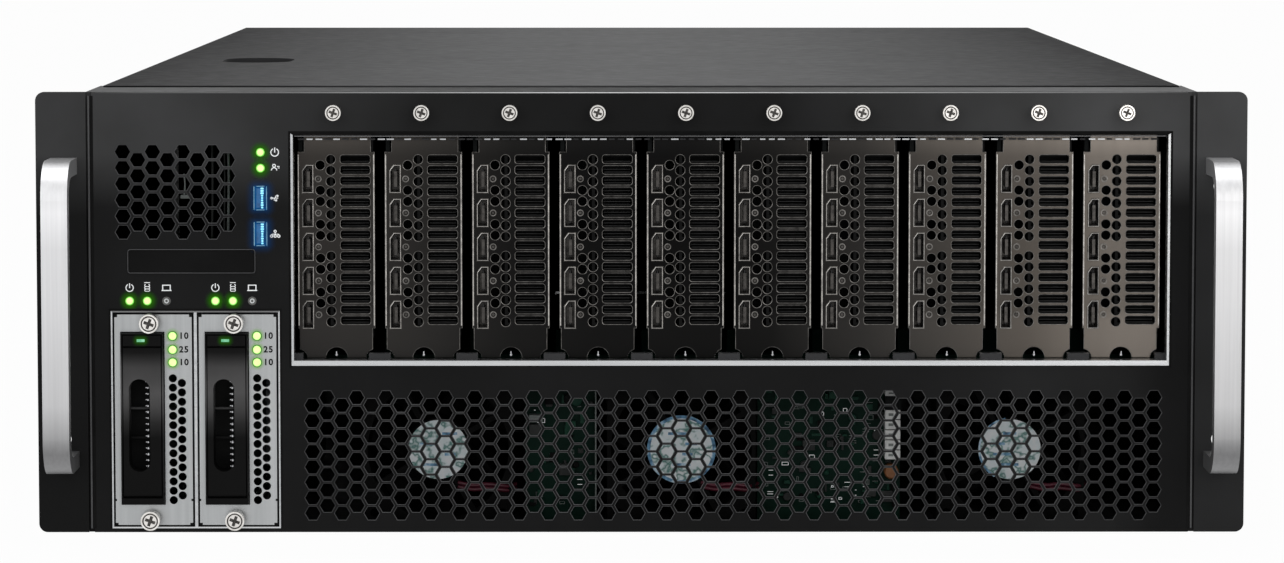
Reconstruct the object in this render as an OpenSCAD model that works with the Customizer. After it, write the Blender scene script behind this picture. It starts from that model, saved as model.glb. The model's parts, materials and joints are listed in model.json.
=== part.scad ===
// 4U rack server with ten graphics cards, two hot-swap drive modules, seven fans and four power supplies.
// +X is to the right seen from the front, +Y runs to the rear and +Z is up.
// The origin is at the centre of the overall box on its underside.

/* [Chassis] */
// Thickness of the chassis sheet metal
sheet = 1.2; // [0.8:0.1:2]
// Thickness of the front panel's face
panel_thick = 1.5; // [1:0.1:3]
// Depth of the body from the front panel's face to the rear panel's face
body_depth = 800; // [760:5:900]
// Height of the body from its underside to the top of the cover
body_height = 177; // [175:0.5:190]
// Border of the front panel left of the drive modules
left_border = 7.1; // [6:0.1:20]
// Border of the front panel right of the card window
right_border = 8.2; // [6:0.1:20]
// Web of the front panel between the drive modules and the card window
bay_web = 4.7; // [3:0.1:12]
// Depth of the fixed strip at the front of the top
top_strip = 44; // [35:1:60]
// Depth of the front panel's side flanges
side_return = 40; // [30:1:60]

/* [Rack ears and handles] */
// Width of an ear's face beside the seam
ear_width = 20; // [16:0.5:26]
// Thickness of an ear
ear_thick = 2.3; // [1.5:0.1:4]
// Depth of an ear's flange along the side wall
ear_flange = 58; // [35:1:80]
// Corner radius of an ear
ear_corner = 3.5; // [1:0.5:8]
// Distance between the rack slots of an ear
slot_spacing = 101.6; // [60:0.1:120]
// Height of a rack slot
slot_height = 6.8; // [5:0.1:8]
// Length of a rack slot from end to end
slot_length = 9; // [8:0.1:12]
// Distance from an ear's flange to its rack slots' middle
slot_inset = 11.25; // [8:0.05:14]
// Width of a handle's bar
handle_width = 10.4; // [8:0.1:14]
// Thickness of a handle's bar
handle_thick = 6.5; // [4:0.1:9]
// Length of a handle beyond each rack slot's middle
handle_over = 11.2; // [9:0.1:20]
// Reach of a handle in front of the ears
handle_reach = 36; // [25:1:45]
// Outer bend radius of a handle
handle_bend = 15; // [9:0.5:20]

/* [Graphics cards] */
// Distance from card to card
card_pitch = 35; // [33:0.1:40]
// Width of a card's bracket
bracket_width = 30.9; // [28:0.1:32]
// Thickness of a card's bracket
bracket_thick = 1; // [0.8:0.1:2]
// Recess of the brackets behind the panel's face
bracket_recess = 11; // [8:0.5:20]
// Underside of the card window
window_base = 67; // [64:0.1:72]
// Height of the front panel above the card window
window_head = 16.5; // [15.5:0.1:22]
// Length of a card
card_length = 270; // [200:1:330]
// Thickness of a card's circuit board
card_board = 1.6; // [1:0.1:2.4]
// Gap between a card's display sockets
socket_gap = 2.6; // [1.5:0.1:4]
// Width of a display socket
socket_width = 4.3; // [4:0.1:6]
// Head radius of a card's thumbscrew
card_screw_r = 3.1; // [2.5:0.05:5]
// Length of a card's thumbscrew head
card_screw_head = 8; // [4:0.5:12]

/* [Vents] */
// Width across flats of a vent's hexagonal hole
hex_flats = 5.4; // [4:0.1:5.6]
// Thickness of the vent inserts
vent_thick = 1.2; // [0.8:0.1:1.5]

/* [Drive modules] */
// Thickness of the divider between the modules
divider = 1.2; // [0.8:0.1:3]
// Width of a module's faceplate
face_width = 30.9; // [29:0.1:36]
// Height of a module's faceplate
face_height = 84.6; // [80:0.1:88]
// Thickness of a module's faceplate
face_thick = 1.2; // [0.8:0.1:2]
// Length of a module behind the panel
module_length = 240; // [180:5:300]
// Width of a faceplate to the right of its drive carrier
carrier_side = 11.3; // [10.5:0.1:14]
// Height of a faceplate above its drive carrier
carrier_head = 7.3; // [6:0.1:12]
// Length of a drive
drive_length = 100; // [80:1:110]
// Head radius of a module's thumbscrew
module_screw_r = 3.8; // [3:0.1:4.2]
// Length of a module's thumbscrew head
module_screw_head = 8; // [5:0.5:12]
// Radius of a module's vent hole
face_hole_r = 1.65; // [1:0.05:1.75]
// Radius of an indicator lamp
led_r = 1.7; // [1:0.05:2]

/* [Fans] */
// Length of an intake fan
intake_length = 38; // [25:1:50]
// Gap from the front panel's face to the intake fans
intake_setback = 18; // [10:1:30]
// Side of a rear fan's square frame
exhaust_size = 92; // [80:1:96]
// Length of a rear fan
exhaust_length = 38; // [25:1:50]
// Gap between a fan's blades and its bore
tip_gap = 1; // [0.5:0.1:2]

/* [Power supplies] */
// Width of a power supply
psu_width = 73.5; // [70:0.1:74]
// Height of a power supply
psu_height = 40; // [36:0.1:44]
// Length of a power supply
psu_length = 185; // [150:1:200]
// Gap between neighbouring power supplies
psu_gap = 1.2; // [1:0.1:3]
// Reach of a power supply's handle behind the rear panel
psu_reach = 24; // [20:1:40]

/* [Clearances] */
// Gap around pieces that slide out
slide_gap = 0.4; // [0.3:0.05:0.6]
// Gap round a module's faceplate
face_gap = 0.8; // [0.5:0.05:1.2]
// Radial clearance of a screw's shank in its hole
screw_gap = 0.05; // [0.02:0.01:0.2]

/* [Hidden] */
$fn = 48;
card_count = 10;
module_count = 2;
psu_count = 4;
exhaust_count = 4;
shim = 1;

// Widths, from left to right across the front
trim = 0.9;
sill = 2;
bay_lip = 0.6;
bay_pitch = face_width + 2 * face_gap + divider;
bay_width = module_count * bay_pitch - divider + 2 * bay_lip;
window_width = card_count * card_pitch + 0.6;
body_width = left_border + bay_width + bay_web + window_width + right_border;
bay_x0 = -body_width / 2 + left_border;
bay_x1 = bay_x0 + bay_width;
window_x0 = bay_x1 + bay_web;
window_x1 = window_x0 + window_width;
panel_top = body_height - 0.6;
window_top = panel_top - window_head;
window_height = window_top - window_base;
wall_out = body_width / 2 - sheet;
wall_in = wall_out - sheet;
ear_x0 = body_width / 2 + ear_thick;
ear_x1 = ear_x0 + ear_width;
slot_offset = ear_x0 + slot_inset;

// Heights and depths
cover_thick = 1;
wall_top = body_height - cover_thick - 0.3;
cover_skirt = 12;
skirt_gap = 0.25;
ear_gap = 0.2;
bay_base = 1.6;
bay_top = bay_base + 2 * bay_lip + 2 * face_gap + face_height;
face_base = bay_base + bay_lip + face_gap;
front_y = -(body_depth + psu_reach - handle_reach) / 2;
rear_in = body_depth - panel_thick;

// Deck that carries the cards
deck_top = window_base - 2.9;
deck_back = bracket_recess + card_length + 60;
board_gap = 2.2;
base_top = deck_top + board_gap + 1.6;
slot_rise = 9;
card_base = base_top + 3.4;

// Cards
function card_x(i) = window_x0 + window_width / 2 + (i - (card_count - 1) / 2) * card_pitch - 0.4;
bracket_base = window_base + 2;
bracket_neck = 12;
bracket_shoulder = 8;
neck_inset = [2.7, 1.5];
foot_inset = [0.6, 1];
bracket_tab = 18;
tab_over = 4.5;
foot_notch = 3.6;
middle_notch = 4.4;
screw_height = window_top + 8.5;
card_screw_shank = 1.6;
grill_x0 = 0.055 * bracket_width;
grill_x1 = bracket_width / 2 - 1.75;
grill_count = 16;
grill_top = window_top - 9.2;
grill_pitch = (grill_top - bracket_base - bracket_neck - 0.6) / grill_count;
grill_slot = 0.787 * grill_pitch;
slot_round = 1.1;
vent_hole_r = 0.44 * grill_pitch;
vent_hole_pitch = 1.025 * grill_pitch;
vent_hole_x = [-0.068 * bracket_width, -0.204 * bracket_width];
hole_groups = [[1.8, 8], [9.4 * grill_pitch, 7]];
socket_count = 5;
socket_top = window_top - 18.8;
socket_pitch = (socket_top - bracket_base - bracket_neck - 5.5) / (socket_count - 1);
socket_height = socket_pitch - socket_gap;
socket_x = -0.366 * bracket_width;
socket_wall = 0.5;
socket_depth = 15;
socket_fit = 0.1;
board_x = socket_x - socket_width / 2 - card_board;

// Lower vent, seen through it are the intake fans
lower_pitch_x = 5.907;
lower_pitch_z = 6.21;
lower_x0 = window_x0 + 8.1;
lower_z0 = 7.6;
lower_shift = lower_pitch_z / 2;
lower_cols = 1 + floor((window_width - 13) / lower_pitch_x);
lower_rows = 1 + floor((window_base - lower_z0 - lower_shift - 9) / lower_pitch_z);
lower_edge_x0 = lower_x0 - 5;
lower_edge_x1 = lower_x0 + (lower_cols - 1) * lower_pitch_x + 5;
lower_edge_z0 = lower_z0 - 4.2;
lower_edge_z1 = lower_z0 + lower_shift + (lower_rows - 1) * lower_pitch_z + 4.2;

// Lamps, sockets and label on the front panel
lamp_offsets = [7.6, 14.6, 22.3];
lamp_pitch = bay_pitch + 0.5;
lamp_height = bay_top + 4;
lamp_proud = 0.3;
label_x0 = bay_x0 + 7;
label_width = 50.7;
label_base = bay_top + 15.2;
label_height = 9.4;
label_thick = 0.4;
label_rim = 0.5;
io_rise = window_top - label_base;
status_x = window_x0 - 12;
status_heights = [label_base + 0.752 * io_rise, label_base + 0.865 * io_rise];
io_board_y = 16;
usb_width = 5.2;
usb_height = 0.176 * io_rise;
usb_wall = 0.4;
usb_heights = [label_base + 0.28 * io_rise, label_base + 0.537 * io_rise];

// Upper vent
upper_cols = 8;
upper_pitch_x = 5.957;
upper_pitch_z = 6.42;
upper_x0 = bay_x0 + 5.2;
upper_z0 = label_base + label_height + 6.9;
upper_rows = 1 + floor((panel_top - upper_z0 - 22) / upper_pitch_z);
upper_edge_x0 = upper_x0 - 4.4;
upper_edge_x1 = upper_x0 + (upper_cols - 1) * upper_pitch_x + 4.4;
upper_edge_z0 = upper_z0 - 4.2;
upper_edge_z1 = upper_z0 + (upper_rows - 1) * upper_pitch_z + 4.2;
vent_lip = 2;

// Drive modules
function bay_x(m) = bay_x0 + bay_lip + face_gap + m * bay_pitch;
sled_wall = 1;
carrier_inset = 2.7;
carrier_foot = 8.5;
carrier_proud = 3.4;
carrier_block = 6;
lever_pocket = 3;
frame_side = 0.5;
lever_base = 2.9;
button_height = 4.2;
lever_thick = lever_pocket - slide_gap;
lever_inset = frame_side + slide_gap;
button_band = button_height + 2 * slide_gap;
carrier_width = face_width - carrier_inset - carrier_side;
carrier_height = face_height - carrier_foot - carrier_head;
grip_x0 = 3.1;
grip_x1 = carrier_width - 5.4;
grip_z0 = 0.193 * carrier_height;
grip_z1 = 0.733 * carrier_height;
face_hole_pitch = 3.77;
face_hole_base = 10;
face_hole_rows = 1 + floor((face_height - face_hole_base - 25) / face_hole_pitch);
module_lamp_x = face_width - 7.7;
module_lamps = [face_height - 8.6, face_height - 14.1, face_height - 19.2];
module_screw_x = face_width / 2 - 1;
module_screw_zs = [carrier_foot - 6, face_height - carrier_head + slide_gap + module_screw_r];
shank_r = 1.5;

// Fans
intake_size = deck_top - 2 * sheet - 1.7;
intake_centres = [for (f = [0.1646, 0.4447, 0.824]) window_x0 + f * window_width];
intake_z = sheet + intake_size / 2;
exhaust_pitch = 2 * wall_in / exhaust_count;
hub_share = 0.42;

// Power supplies
psu_x0 = -wall_in + 1.8;
psu_base = sheet + 1.8;
psu_pitch = psu_width + psu_gap;
exhaust_z = (psu_base + psu_height + wall_top) / 2;
function psu_x(i) = psu_x0 + psu_width / 2 + i * psu_pitch;

// Main board
main_z = sheet + 6.8;
main_thick = 1.8;
main_front = deck_back + 10;
main_back = body_depth - psu_length - 15;
main_middle = (main_front + main_back) / 2;
port_x0 = psu_x0 + psu_count * psu_pitch + 8;
port_z = main_z + main_thick;
port_count = 4;
port_pitch = (wall_in - port_x0 - 20.6) / port_count;
port_width = port_pitch - 10;
function port_x(k) = port_x0 + 6 + k * port_pitch;
function port_height(k) = k % 2 == 0 ? 14 : 18;

// Moves a piece drawn behind the front panel's face into the part's own frame
module server() {
    translate([0, front_y, 0]) children();
}

// Box given by its two limits along each axis
module block(x, y, z) {
    translate([x[0], y[0], z[0]]) cube([x[1] - x[0], y[1] - y[0], z[1] - z[0]]);
}

// Cylinder along Y
module rod(x, z, r, y) {
    translate([x, y[0], z]) rotate([-90, 0, 0]) cylinder(r = r, h = y[1] - y[0]);
}

// Profile drawn in X and Z, made solid between two depths
module plate(y) {
    translate([0, y[1], 0]) rotate([90, 0, 0]) linear_extrude(height = y[1] - y[0]) children();
}

// Rectangle given by its limits
module rect(x, z) {
    translate([x[0], z[0]]) square([x[1] - x[0], z[1] - z[0]]);
}

// Rectangle with round corners
module round_rect(x, z, r) {
    rect([x[0] + r, x[1] - r], z);
    rect(x, [z[0] + r, z[1] - r]);
    for (cx = [x[0] + r, x[1] - r], cz = [z[0] + r, z[1] - r]) translate([cx, cz]) circle(r = r);
}

// Rectangular ring between an outer rectangle and the same rectangle brought in by w
module ring(x, z, w) {
    difference() {
        rect(x, z);
        rect([x[0] + w, x[1] - w], [z[0] + w, z[1] - w]);
    }
}

// Round-ended slot along X
module slot(x, z, length, width) {
    rect([x - (length - width) / 2, x + (length - width) / 2], [z - width / 2, z + width / 2]);
    for (s = [-1, 1]) translate([x + s * (length - width) / 2, z]) circle(r = width / 2);
}

// Round-ended slot along Z
module tall_slot(x, z) {
    r = (x[1] - x[0]) / 2;
    rect(x, [z[0] + r, z[1] - r]);
    for (cz = [z[0] + r, z[1] - r]) translate([x[0] + r, cz]) circle(r = r);
}

// Thumbscrew: head in front of the depth y, shank behind it, cross recess in the head
module thumbscrew(x, z, head_r, head, shank, y, reach) {
    cross = head_r * 0.32;
    difference() {
        union() {
            rod(x, z, head_r, [y - head, y - head * 0.35]);
            rod(x, z, head_r * 0.8, [y - head * 0.4, y]);
            rod(x, z, shank, [y - shim, y + reach]);
        }
        for (a = [0, 90]) translate([x, y - head - shim, z]) rotate([0, a + 20, 0])
            block([-head_r * 0.55, head_r * 0.55], [0, shim + 1.2], [-cross / 2, cross / 2]);
    }
}

/* Chassis */

module chassis_base() {
    server() color([0.16, 0.16, 0.17]) difference() {
        union() {
            block([-wall_out, wall_out], [panel_thick, body_depth], [0, sheet]);
            for (s = [0, 1]) mirror([s, 0, 0]) {
                block([wall_in, wall_out], [panel_thick, body_depth], [0, panel_top - sheet]);
                block([wall_in, wall_out], [top_strip + 2, body_depth], [0, wall_top]);
                block([wall_in - 8, wall_out], [top_strip + 2, body_depth], [wall_top - sheet, wall_top]);
            }
            // walls around the drive modules
            block([bay_x1 + 1, bay_x1 + 1 + sheet], [panel_thick, module_length + 20], [0, bay_top + 1]);
            block([-wall_in - 0.1, bay_x1 + 1 + sheet], [panel_thick, module_length + 20],
                [bay_roof - sheet, bay_roof]);
            block(divider_x, [trim_depth, module_length + 20], [0, bay_top + sheet]);
            // bar behind the brackets' tabs
            block([-wall_in - 0.1, wall_in + 0.1], [tab_back, tab_back + 1.5],
                [window_top + 2, wall_top - sheet]);
            // crossbar that carries the deck's rear edge
            block([bay_x1 + 1, wall_in + 0.1], [deck_back - 12, deck_back],
                [deck_top - 2 * sheet, deck_top - sheet]);
            block([bay_x1 + 1, wall_in + 0.1], [deck_back - sheet, deck_back], [0, deck_top - sheet]);
        }
        for (i = [0 : card_count - 1])
            rod(card_x(i), screw_height, card_screw_shank + screw_gap,
                [tab_back - shim, tab_back + 2 * shim]);
        // slide-rail holes
        for (y = rail_ys, s = [-1, 1]) translate([s * (wall_in - shim), y, rail_z])
            rotate([0, s * 90, 0]) cylinder(r = rail_hole_r, h = 3 * shim + sheet);
        for (z = ear_screw_zs, s = [-1, 1]) translate([s * (wall_in - shim), ear_screw_y, z])
            rotate([0, s * 90, 0]) cylinder(r = ear_screw_r + screw_gap, h = 3 * shim + sheet);
    }
}
tab_back = bracket_recess + bracket_thick;
trim_depth = 8;
divider_x = [bay_x(1) - face_gap - divider, bay_x(1) - face_gap];
rail_ys = [150, 650];
rail_z = 88;
rail_hole_r = 2.1;
ear_screw_zs = [22, 88, 154];
ear_screw_y = 26;
ear_screw_r = 1.5;

// Front panel: a face with flanges along its sides and top
module front_panel() {
    server() color([0.03, 0.03, 0.032]) difference() {
        union() {
            block([-body_width / 2, body_width / 2], [0, panel_thick], [0, panel_top]);
            for (s = [0, 1]) mirror([s, 0, 0])
                block([wall_out, body_width / 2], [0, side_return], [0, panel_top]);
            block([-body_width / 2, body_width / 2], [0, top_strip], [panel_top - sheet, panel_top]);
            // lips that the vent inserts lie against
            vent_frame([lower_edge_x0, lower_edge_x1], [lower_edge_z0, lower_edge_z1]);
            vent_frame([upper_edge_x0, upper_edge_x1], [upper_edge_z0, upper_edge_z1]);
        }
        plate([-shim, panel_thick + shim]) {
            rect([bay_x0, bay_x1], [bay_base, bay_top]);
            rect([window_x0, window_x1], [window_base, window_top]);
        }
        plate([-shim, vent_thick]) {
            rect([lower_edge_x0, lower_edge_x1], [lower_edge_z0, lower_edge_z1]);
            rect([upper_edge_x0, upper_edge_x1], [upper_edge_z0, upper_edge_z1]);
        }
        plate([0, panel_thick + 2 * shim]) {
            rect([lower_edge_x0 + 1, lower_edge_x1 - 1], [lower_edge_z0 + 1, lower_edge_z1 - 1]);
            rect([upper_edge_x0 + 1, upper_edge_x1 - 1], [upper_edge_z0 + 1, upper_edge_z1 - 1]);
        }
        for (i = [0 : card_count - 1])
            rod(card_x(i), screw_height, card_screw_shank + screw_gap, [-shim, panel_thick + shim]);
        for (p = lamp_places) rod(p[0], p[1], led_r, [-shim, panel_thick + shim]);
        for (z = usb_heights) plate([-shim, panel_thick + shim])
            rect([status_x - usb_width / 2, status_x + usb_width / 2],
                [z - usb_height / 2, z + usb_height / 2]);
        for (z = ear_screw_zs, s = [-1, 1]) translate([s * (wall_in - shim), ear_screw_y, z])
            rotate([0, s * 90, 0]) cylinder(r = ear_screw_r + screw_gap, h = 4 * shim + sheet);
    }
}
lamp_places = concat(
    [for (m = [0 : module_count - 1], o = lamp_offsets) [bay_x0 + o + m * lamp_pitch, lamp_height]],
    [for (z = status_heights) [status_x, z]]);

module vent_frame(x, z) {
    plate([0, panel_thick + 1]) rect([x[0] - vent_lip, x[1] + vent_lip], [z[0] - vent_lip, z[1] + vent_lip]);
}

// Hexagonal hole, flat at its top and bottom
module hex_hole(x, z) {
    translate([x, z]) circle(r = hex_flats / sqrt(3), $fn = 6);
}

module upper_vent_grille() {
    server() color([0.03, 0.03, 0.032]) plate([0, vent_thick]) difference() {
        rect([upper_edge_x0, upper_edge_x1], [upper_edge_z0, upper_edge_z1]);
        for (i = [0 : upper_cols - 1], j = [0 : upper_rows - 1 - i % 2])
            hex_hole(upper_x0 + i * upper_pitch_x, upper_z0 + (j + (i % 2) / 2) * upper_pitch_z);
    }
}

module lower_vent_grille() {
    server() color([0.03, 0.03, 0.032]) plate([0, vent_thick]) difference() {
        rect([lower_edge_x0, lower_edge_x1], [lower_edge_z0, lower_edge_z1]);
        for (i = [0 : lower_cols - 1], j = [0 : lower_rows - 1])
            hex_hole(lower_x0 + i * lower_pitch_x, lower_z0 + (i % 2) * lower_shift + j * lower_pitch_z);
    }
}

// Rear panel with fan guards, openings for the power supplies and the main board's ports
module rear_panel() {
    server() color([0.55, 0.56, 0.57]) difference() {
        block([-wall_in, wall_in], [rear_in, body_depth], [sheet, wall_top - sheet]);
        plate([rear_in - shim, body_depth + shim]) {
            for (i = [0 : exhaust_count - 1]) translate([exhaust_x(i), exhaust_z]) guard_cut();
            for (i = [0 : psu_count - 1])
                rect([psu_x(i) - psu_width / 2 - slide_gap, psu_x(i) + psu_width / 2 + slide_gap],
                [psu_base - slide_gap, psu_base + psu_height + slide_gap]);
            for (k = [0 : port_count - 1])
                rect([port_x(k), port_x(k) + port_width], [port_z, port_z + port_height(k)]);
        }
    }
}
function exhaust_x(i) = (i - (exhaust_count - 1) / 2) * exhaust_pitch;

// Gaps between the rings of a fan guard
module guard_cut() {
    difference() {
        circle(r = exhaust_size / 2 - 3);
        for (r = [33, 23]) difference() {
            circle(r = r);
            circle(r = r - 2);
        }
        circle(r = 13);
        for (a = [45, 135]) rotate(a) square([exhaust_size, 2.4], center = true);
    }
}

/* Rack ears and handles */

module ear() {
    difference() {
        union() {
            plate([0, ear_thick]) {
                rect([ear_x0 - shim, ear_x1 - ear_corner], [0, panel_top]);
                rect([ear_x0, ear_x1], [ear_corner, panel_top - ear_corner]);
                for (z = [ear_corner, panel_top - ear_corner])
                    translate([ear_x1 - ear_corner, z]) circle(r = ear_corner);
            }
            block([body_width / 2, ear_x0], [panel_thick, ear_flange], [0, panel_top]);
        }
        block([0, ear_x0], [-shim, panel_thick], [-shim, body_height]);
        for (s = [-1, 1]) {
            plate([-shim, ear_thick + shim])
                slot(slot_offset, panel_top / 2 + s * slot_spacing / 2, slot_length, slot_height);
            rod(handle_x, panel_top / 2 + s * handle_hole, handle_screw_r + screw_gap,
                [-shim, ear_thick + shim]);
        }
        for (z = ear_screw_zs) translate([wall_in, ear_screw_y, z]) rotate([0, 90, 0])
            cylinder(r = ear_screw_r + screw_gap, h = ear_x0 - wall_in + shim);
    }
}
handle_x = ear_x0 + 8.8;
handle_span = slot_spacing + 2 * handle_over;
handle_hole = handle_span / 2 - handle_thick / 2;
handle_screw_r = 1.75;

module left_ear() {
    server() color([0.05, 0.05, 0.05]) mirror([1, 0, 0]) ear();
}

module right_ear() {
    server() color([0.05, 0.05, 0.05]) ear();
}

// Outline of a handle's side, reaching out along X of the drawing
module bow(reach, half, bend) {
    rect([0, reach - bend], [-half, half]);
    rect([0, reach], [-half + bend, half - bend]);
    intersection() {
        rect([0, reach], [-half, half]);
        for (s = [-1, 1]) translate([reach - bend, s * (half - bend)]) circle(r = bend);
    }
}

module handle() {
    difference() {
        translate([handle_x - handle_width / 2, 0, panel_top / 2]) rotate([90, 0, 90])
            linear_extrude(height = handle_width) mirror([1, 0]) difference() {
                bow(handle_reach, handle_span / 2, handle_bend);
                translate([-shim, 0]) bow(handle_reach - handle_thick + shim, handle_span / 2 - handle_thick,
                    handle_bend - handle_thick);
            }
        for (s = [-1, 1])
            rod(handle_x, panel_top / 2 + s * handle_hole, handle_screw_r + screw_gap, [-handle_grip, shim]);
    }
}
handle_grip = 10;

module left_handle() {
    server() color([0.75, 0.75, 0.76]) mirror([1, 0, 0]) handle();
}

module right_handle() {
    server() color([0.75, 0.75, 0.76]) handle();
}

// Screws that hold the handles from behind and the ears from the sides
module ear_screws() {
    server() color([0.5, 0.5, 0.52]) for (m = [0, 1]) mirror([m, 0, 0]) {
        for (s = [-1, 1]) {
            rod(handle_x, panel_top / 2 + s * handle_hole, handle_screw_r,
                [-handle_grip + 1, ear_thick + 0.5]);
            rod(handle_x, panel_top / 2 + s * handle_hole, handle_screw_r * 1.9,
                [ear_thick, ear_thick + 2.2]);
        }
        for (z = ear_screw_zs) translate([wall_in - 0.5, ear_screw_y, z]) rotate([0, 90, 0]) {
            cylinder(r = ear_screw_r, h = ear_x0 - wall_in + 0.6);
            translate([0, 0, ear_x0 - wall_in + 0.5]) cylinder(r = ear_screw_r * 1.9, h = 1.2);
        }
    }
}

/* Front details */

// Bare-metal edges of the card window and of the module openings
module opening_trims() {
    server() color([0.72, 0.73, 0.74]) {
        plate([-lamp_proud, trim_depth]) difference() {
            rect([window_x0, window_x1], [window_base, window_top]);
            rect([window_x0 + trim, window_x1 - trim], [window_base + sill, window_top - bay_lip]);
        }
        for (i = [0 : card_count]) {
            x = card_x(i) - card_pitch / 2;
            block([max(x - 4.3, window_x0 + trim), min(x + 4.3, window_x1 - trim)],
                [bracket_recess - 6, bracket_recess - 0.2], [window_base + sill, window_base + sill + 2.4]);
        }
        plate([-lamp_proud, trim_depth]) {
            ring([bay_x0, bay_x1], [bay_base, bay_top], bay_lip);
            rect(divider_x, [bay_base, bay_top]);
        }
    }
}

module gpu_thumbscrews() {
    server() color([0.8, 0.79, 0.77]) for (i = [0 : card_count - 1])
        thumbscrew(card_x(i), screw_height, card_screw_r, card_screw_head, card_screw_shank,
            0, bracket_recess + 3);
}

module label_plate() {
    server() color([0.06, 0.06, 0.06]) difference() {
        plate([-label_thick, 0])
            round_rect([label_x0, label_x0 + label_width], [label_base, label_base + label_height], 1.2);
        plate([-label_thick - shim, -label_thick / 2])
            round_rect([label_x0 + label_rim, label_x0 + label_width - label_rim],
                [label_base + label_rim, label_base + label_height - label_rim], 0.7);
    }
}

module status_leds() {
    server() color([0.5, 0.9, 0.3]) for (p = lamp_places) rod(p[0], p[1], led_r, [-lamp_proud, io_board_y]);
}

// Two upright sockets: a metal shell around a tongue
module usb_sockets() {
    server() color([0.1, 0.35, 0.9]) for (z = usb_heights) {
        difference() {
            block([status_x - usb_width / 2, status_x + usb_width / 2], [-0.3, io_board_y],
                [z - usb_height / 2, z + usb_height / 2]);
            block([status_x - usb_width / 2 + usb_wall, status_x + usb_width / 2 - usb_wall],
                [-shim, io_board_y - 2],
                [z - usb_height / 2 + usb_wall, z + usb_height / 2 - usb_wall]);
        }
        block([status_x - usb_width / 2 + usb_wall + 0.9, status_x - 0.1], [0.7, io_board_y - 2],
            [z - usb_height / 2 + 1.1, z + usb_height / 2 - 1.1]);
    }
}

/* Cards */

module gpu_deck() {
    server() color([0.6, 0.61, 0.62]) {
        block([bay_x1 + 1 + sheet, wall_in], [panel_thick, deck_back], [deck_top - sheet, deck_top]);
        block([bay_x1 + 1 + sheet, wall_in], [panel_thick, panel_thick + 1],
            [deck_top - sheet, window_base - 0.4]);
        for (x = [base_x0 + 8, (base_x0 + base_x1) / 2, base_x1 - 8], y = [base_y0 + 8, base_y1 - 8])
            translate([x, y, deck_top - sheet / 2]) cylinder(r = 3, h = board_gap + sheet / 2);
    }
}
base_x0 = window_x0 + 1;
base_x1 = window_x1 - 1;
base_y0 = bracket_recess + 25;
base_y1 = bracket_recess + card_length + 40;

// Board with a socket for every card
module gpu_baseboard() {
    server() color([0.04, 0.25, 0.1]) difference() {
        union() {
            block([base_x0, base_x1], [base_y0, base_y1], [deck_top + board_gap, base_top]);
            for (i = [0 : card_count - 1])
                block([card_x(i) + board_x - 2.4, card_x(i) + board_x + card_board + 2.4],
                [base_y0 + 12, base_y0 + 104], [base_top - 0.5, base_top + slot_rise]);
        }
        for (i = [0 : card_count - 1])
            block([card_x(i) + board_x - 0.15, card_x(i) + board_x + card_board + 0.15],
            [base_y0 + 13.5, base_y0 + 102.5], [base_top + 1.5, base_top + slot_rise + shim]);
    }
}

// Outline of a bracket around its middle: narrower at foot and head, with notches in the foot and a screw tab
module bracket_outline() {
    half = bracket_width / 2;
    difference() {
        union() {
            rect([-half, half], [bracket_base + bracket_neck, window_top - bracket_shoulder]);
            rect([-half + foot_inset[0], half - foot_inset[1]],
                [bracket_base, bracket_base + bracket_neck + shim]);
            rect([-half + neck_inset[0], half - neck_inset[1]],
                [window_top - bracket_shoulder - shim, window_top + shim]);
            rect([-bracket_tab / 2, bracket_tab / 2], [window_top, screw_height + tab_over]);
        }
        for (n = [[-half, foot_notch], [0, middle_notch], [half, foot_notch]])
            translate([n[0], bracket_base]) circle(r = n[1]);
    }
}

// Display socket's outline with one corner cut off, brought in by w
module socket_outline(w) {
    x = socket_width / 2 - w;
    z = socket_height / 2 - w;
    polygon([[-x, -z], [x, -z], [x, z], [-x + 1.6, z], [-x, z - 2.2]]);
}

module bracket() {
    plate([bracket_recess, bracket_recess + bracket_thick]) difference() {
        bracket_outline();
        for (k = [0 : grill_count - 1])
            round_rect([grill_x0, grill_x1],
                [grill_top - k * grill_pitch - grill_slot, grill_top - k * grill_pitch],
                slot_round, $fn = 20);
        // right column of holes, in two groups
        for (g = hole_groups, k = [0 : g[1] - 1])
            translate([vent_hole_x[0], grill_top - g[0] - k * vent_hole_pitch])
                circle(r = vent_hole_r, $fn = 24);
        // left column: one at the top and pairs between the sockets
        translate([vent_hole_x[1], grill_top - 4.1]) circle(r = vent_hole_r, $fn = 24);
        for (k = [0 : socket_count - 2], s = [-1, 1])
            translate([vent_hole_x[1], socket_top - (k + 0.5) * socket_pitch + s * vent_hole_pitch / 2])
                circle(r = vent_hole_r, $fn = 24);
        for (k = [0 : socket_count - 1]) translate([socket_x, socket_top - k * socket_pitch])
            socket_outline(-socket_fit);
        translate([0, screw_height]) circle(r = card_screw_shank + screw_gap);
    }
}

module gpu_brackets() {
    server() color([0.2, 0.18, 0.17]) for (i = [0 : card_count - 1]) translate([card_x(i), 0, 0]) bracket();
}

module display_sockets() {
    server() color([0.12, 0.12, 0.13]) for (i = [0 : card_count - 1], k = [0 : socket_count - 1])
        translate([card_x(i) + socket_x, 0, socket_top - k * socket_pitch]) {
            difference() {
                plate([bracket_recess - 0.4, bracket_recess + socket_depth]) socket_outline(0);
                plate([bracket_recess - shim, bracket_recess + socket_depth - 3]) socket_outline(socket_wall);
            }
            block([-0.4, 0.8], [bracket_recess + 0.6, bracket_recess + socket_depth - 2.9],
                [-socket_height / 2 + 2.2, socket_height / 2 - 2.6]);
        }
}

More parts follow.
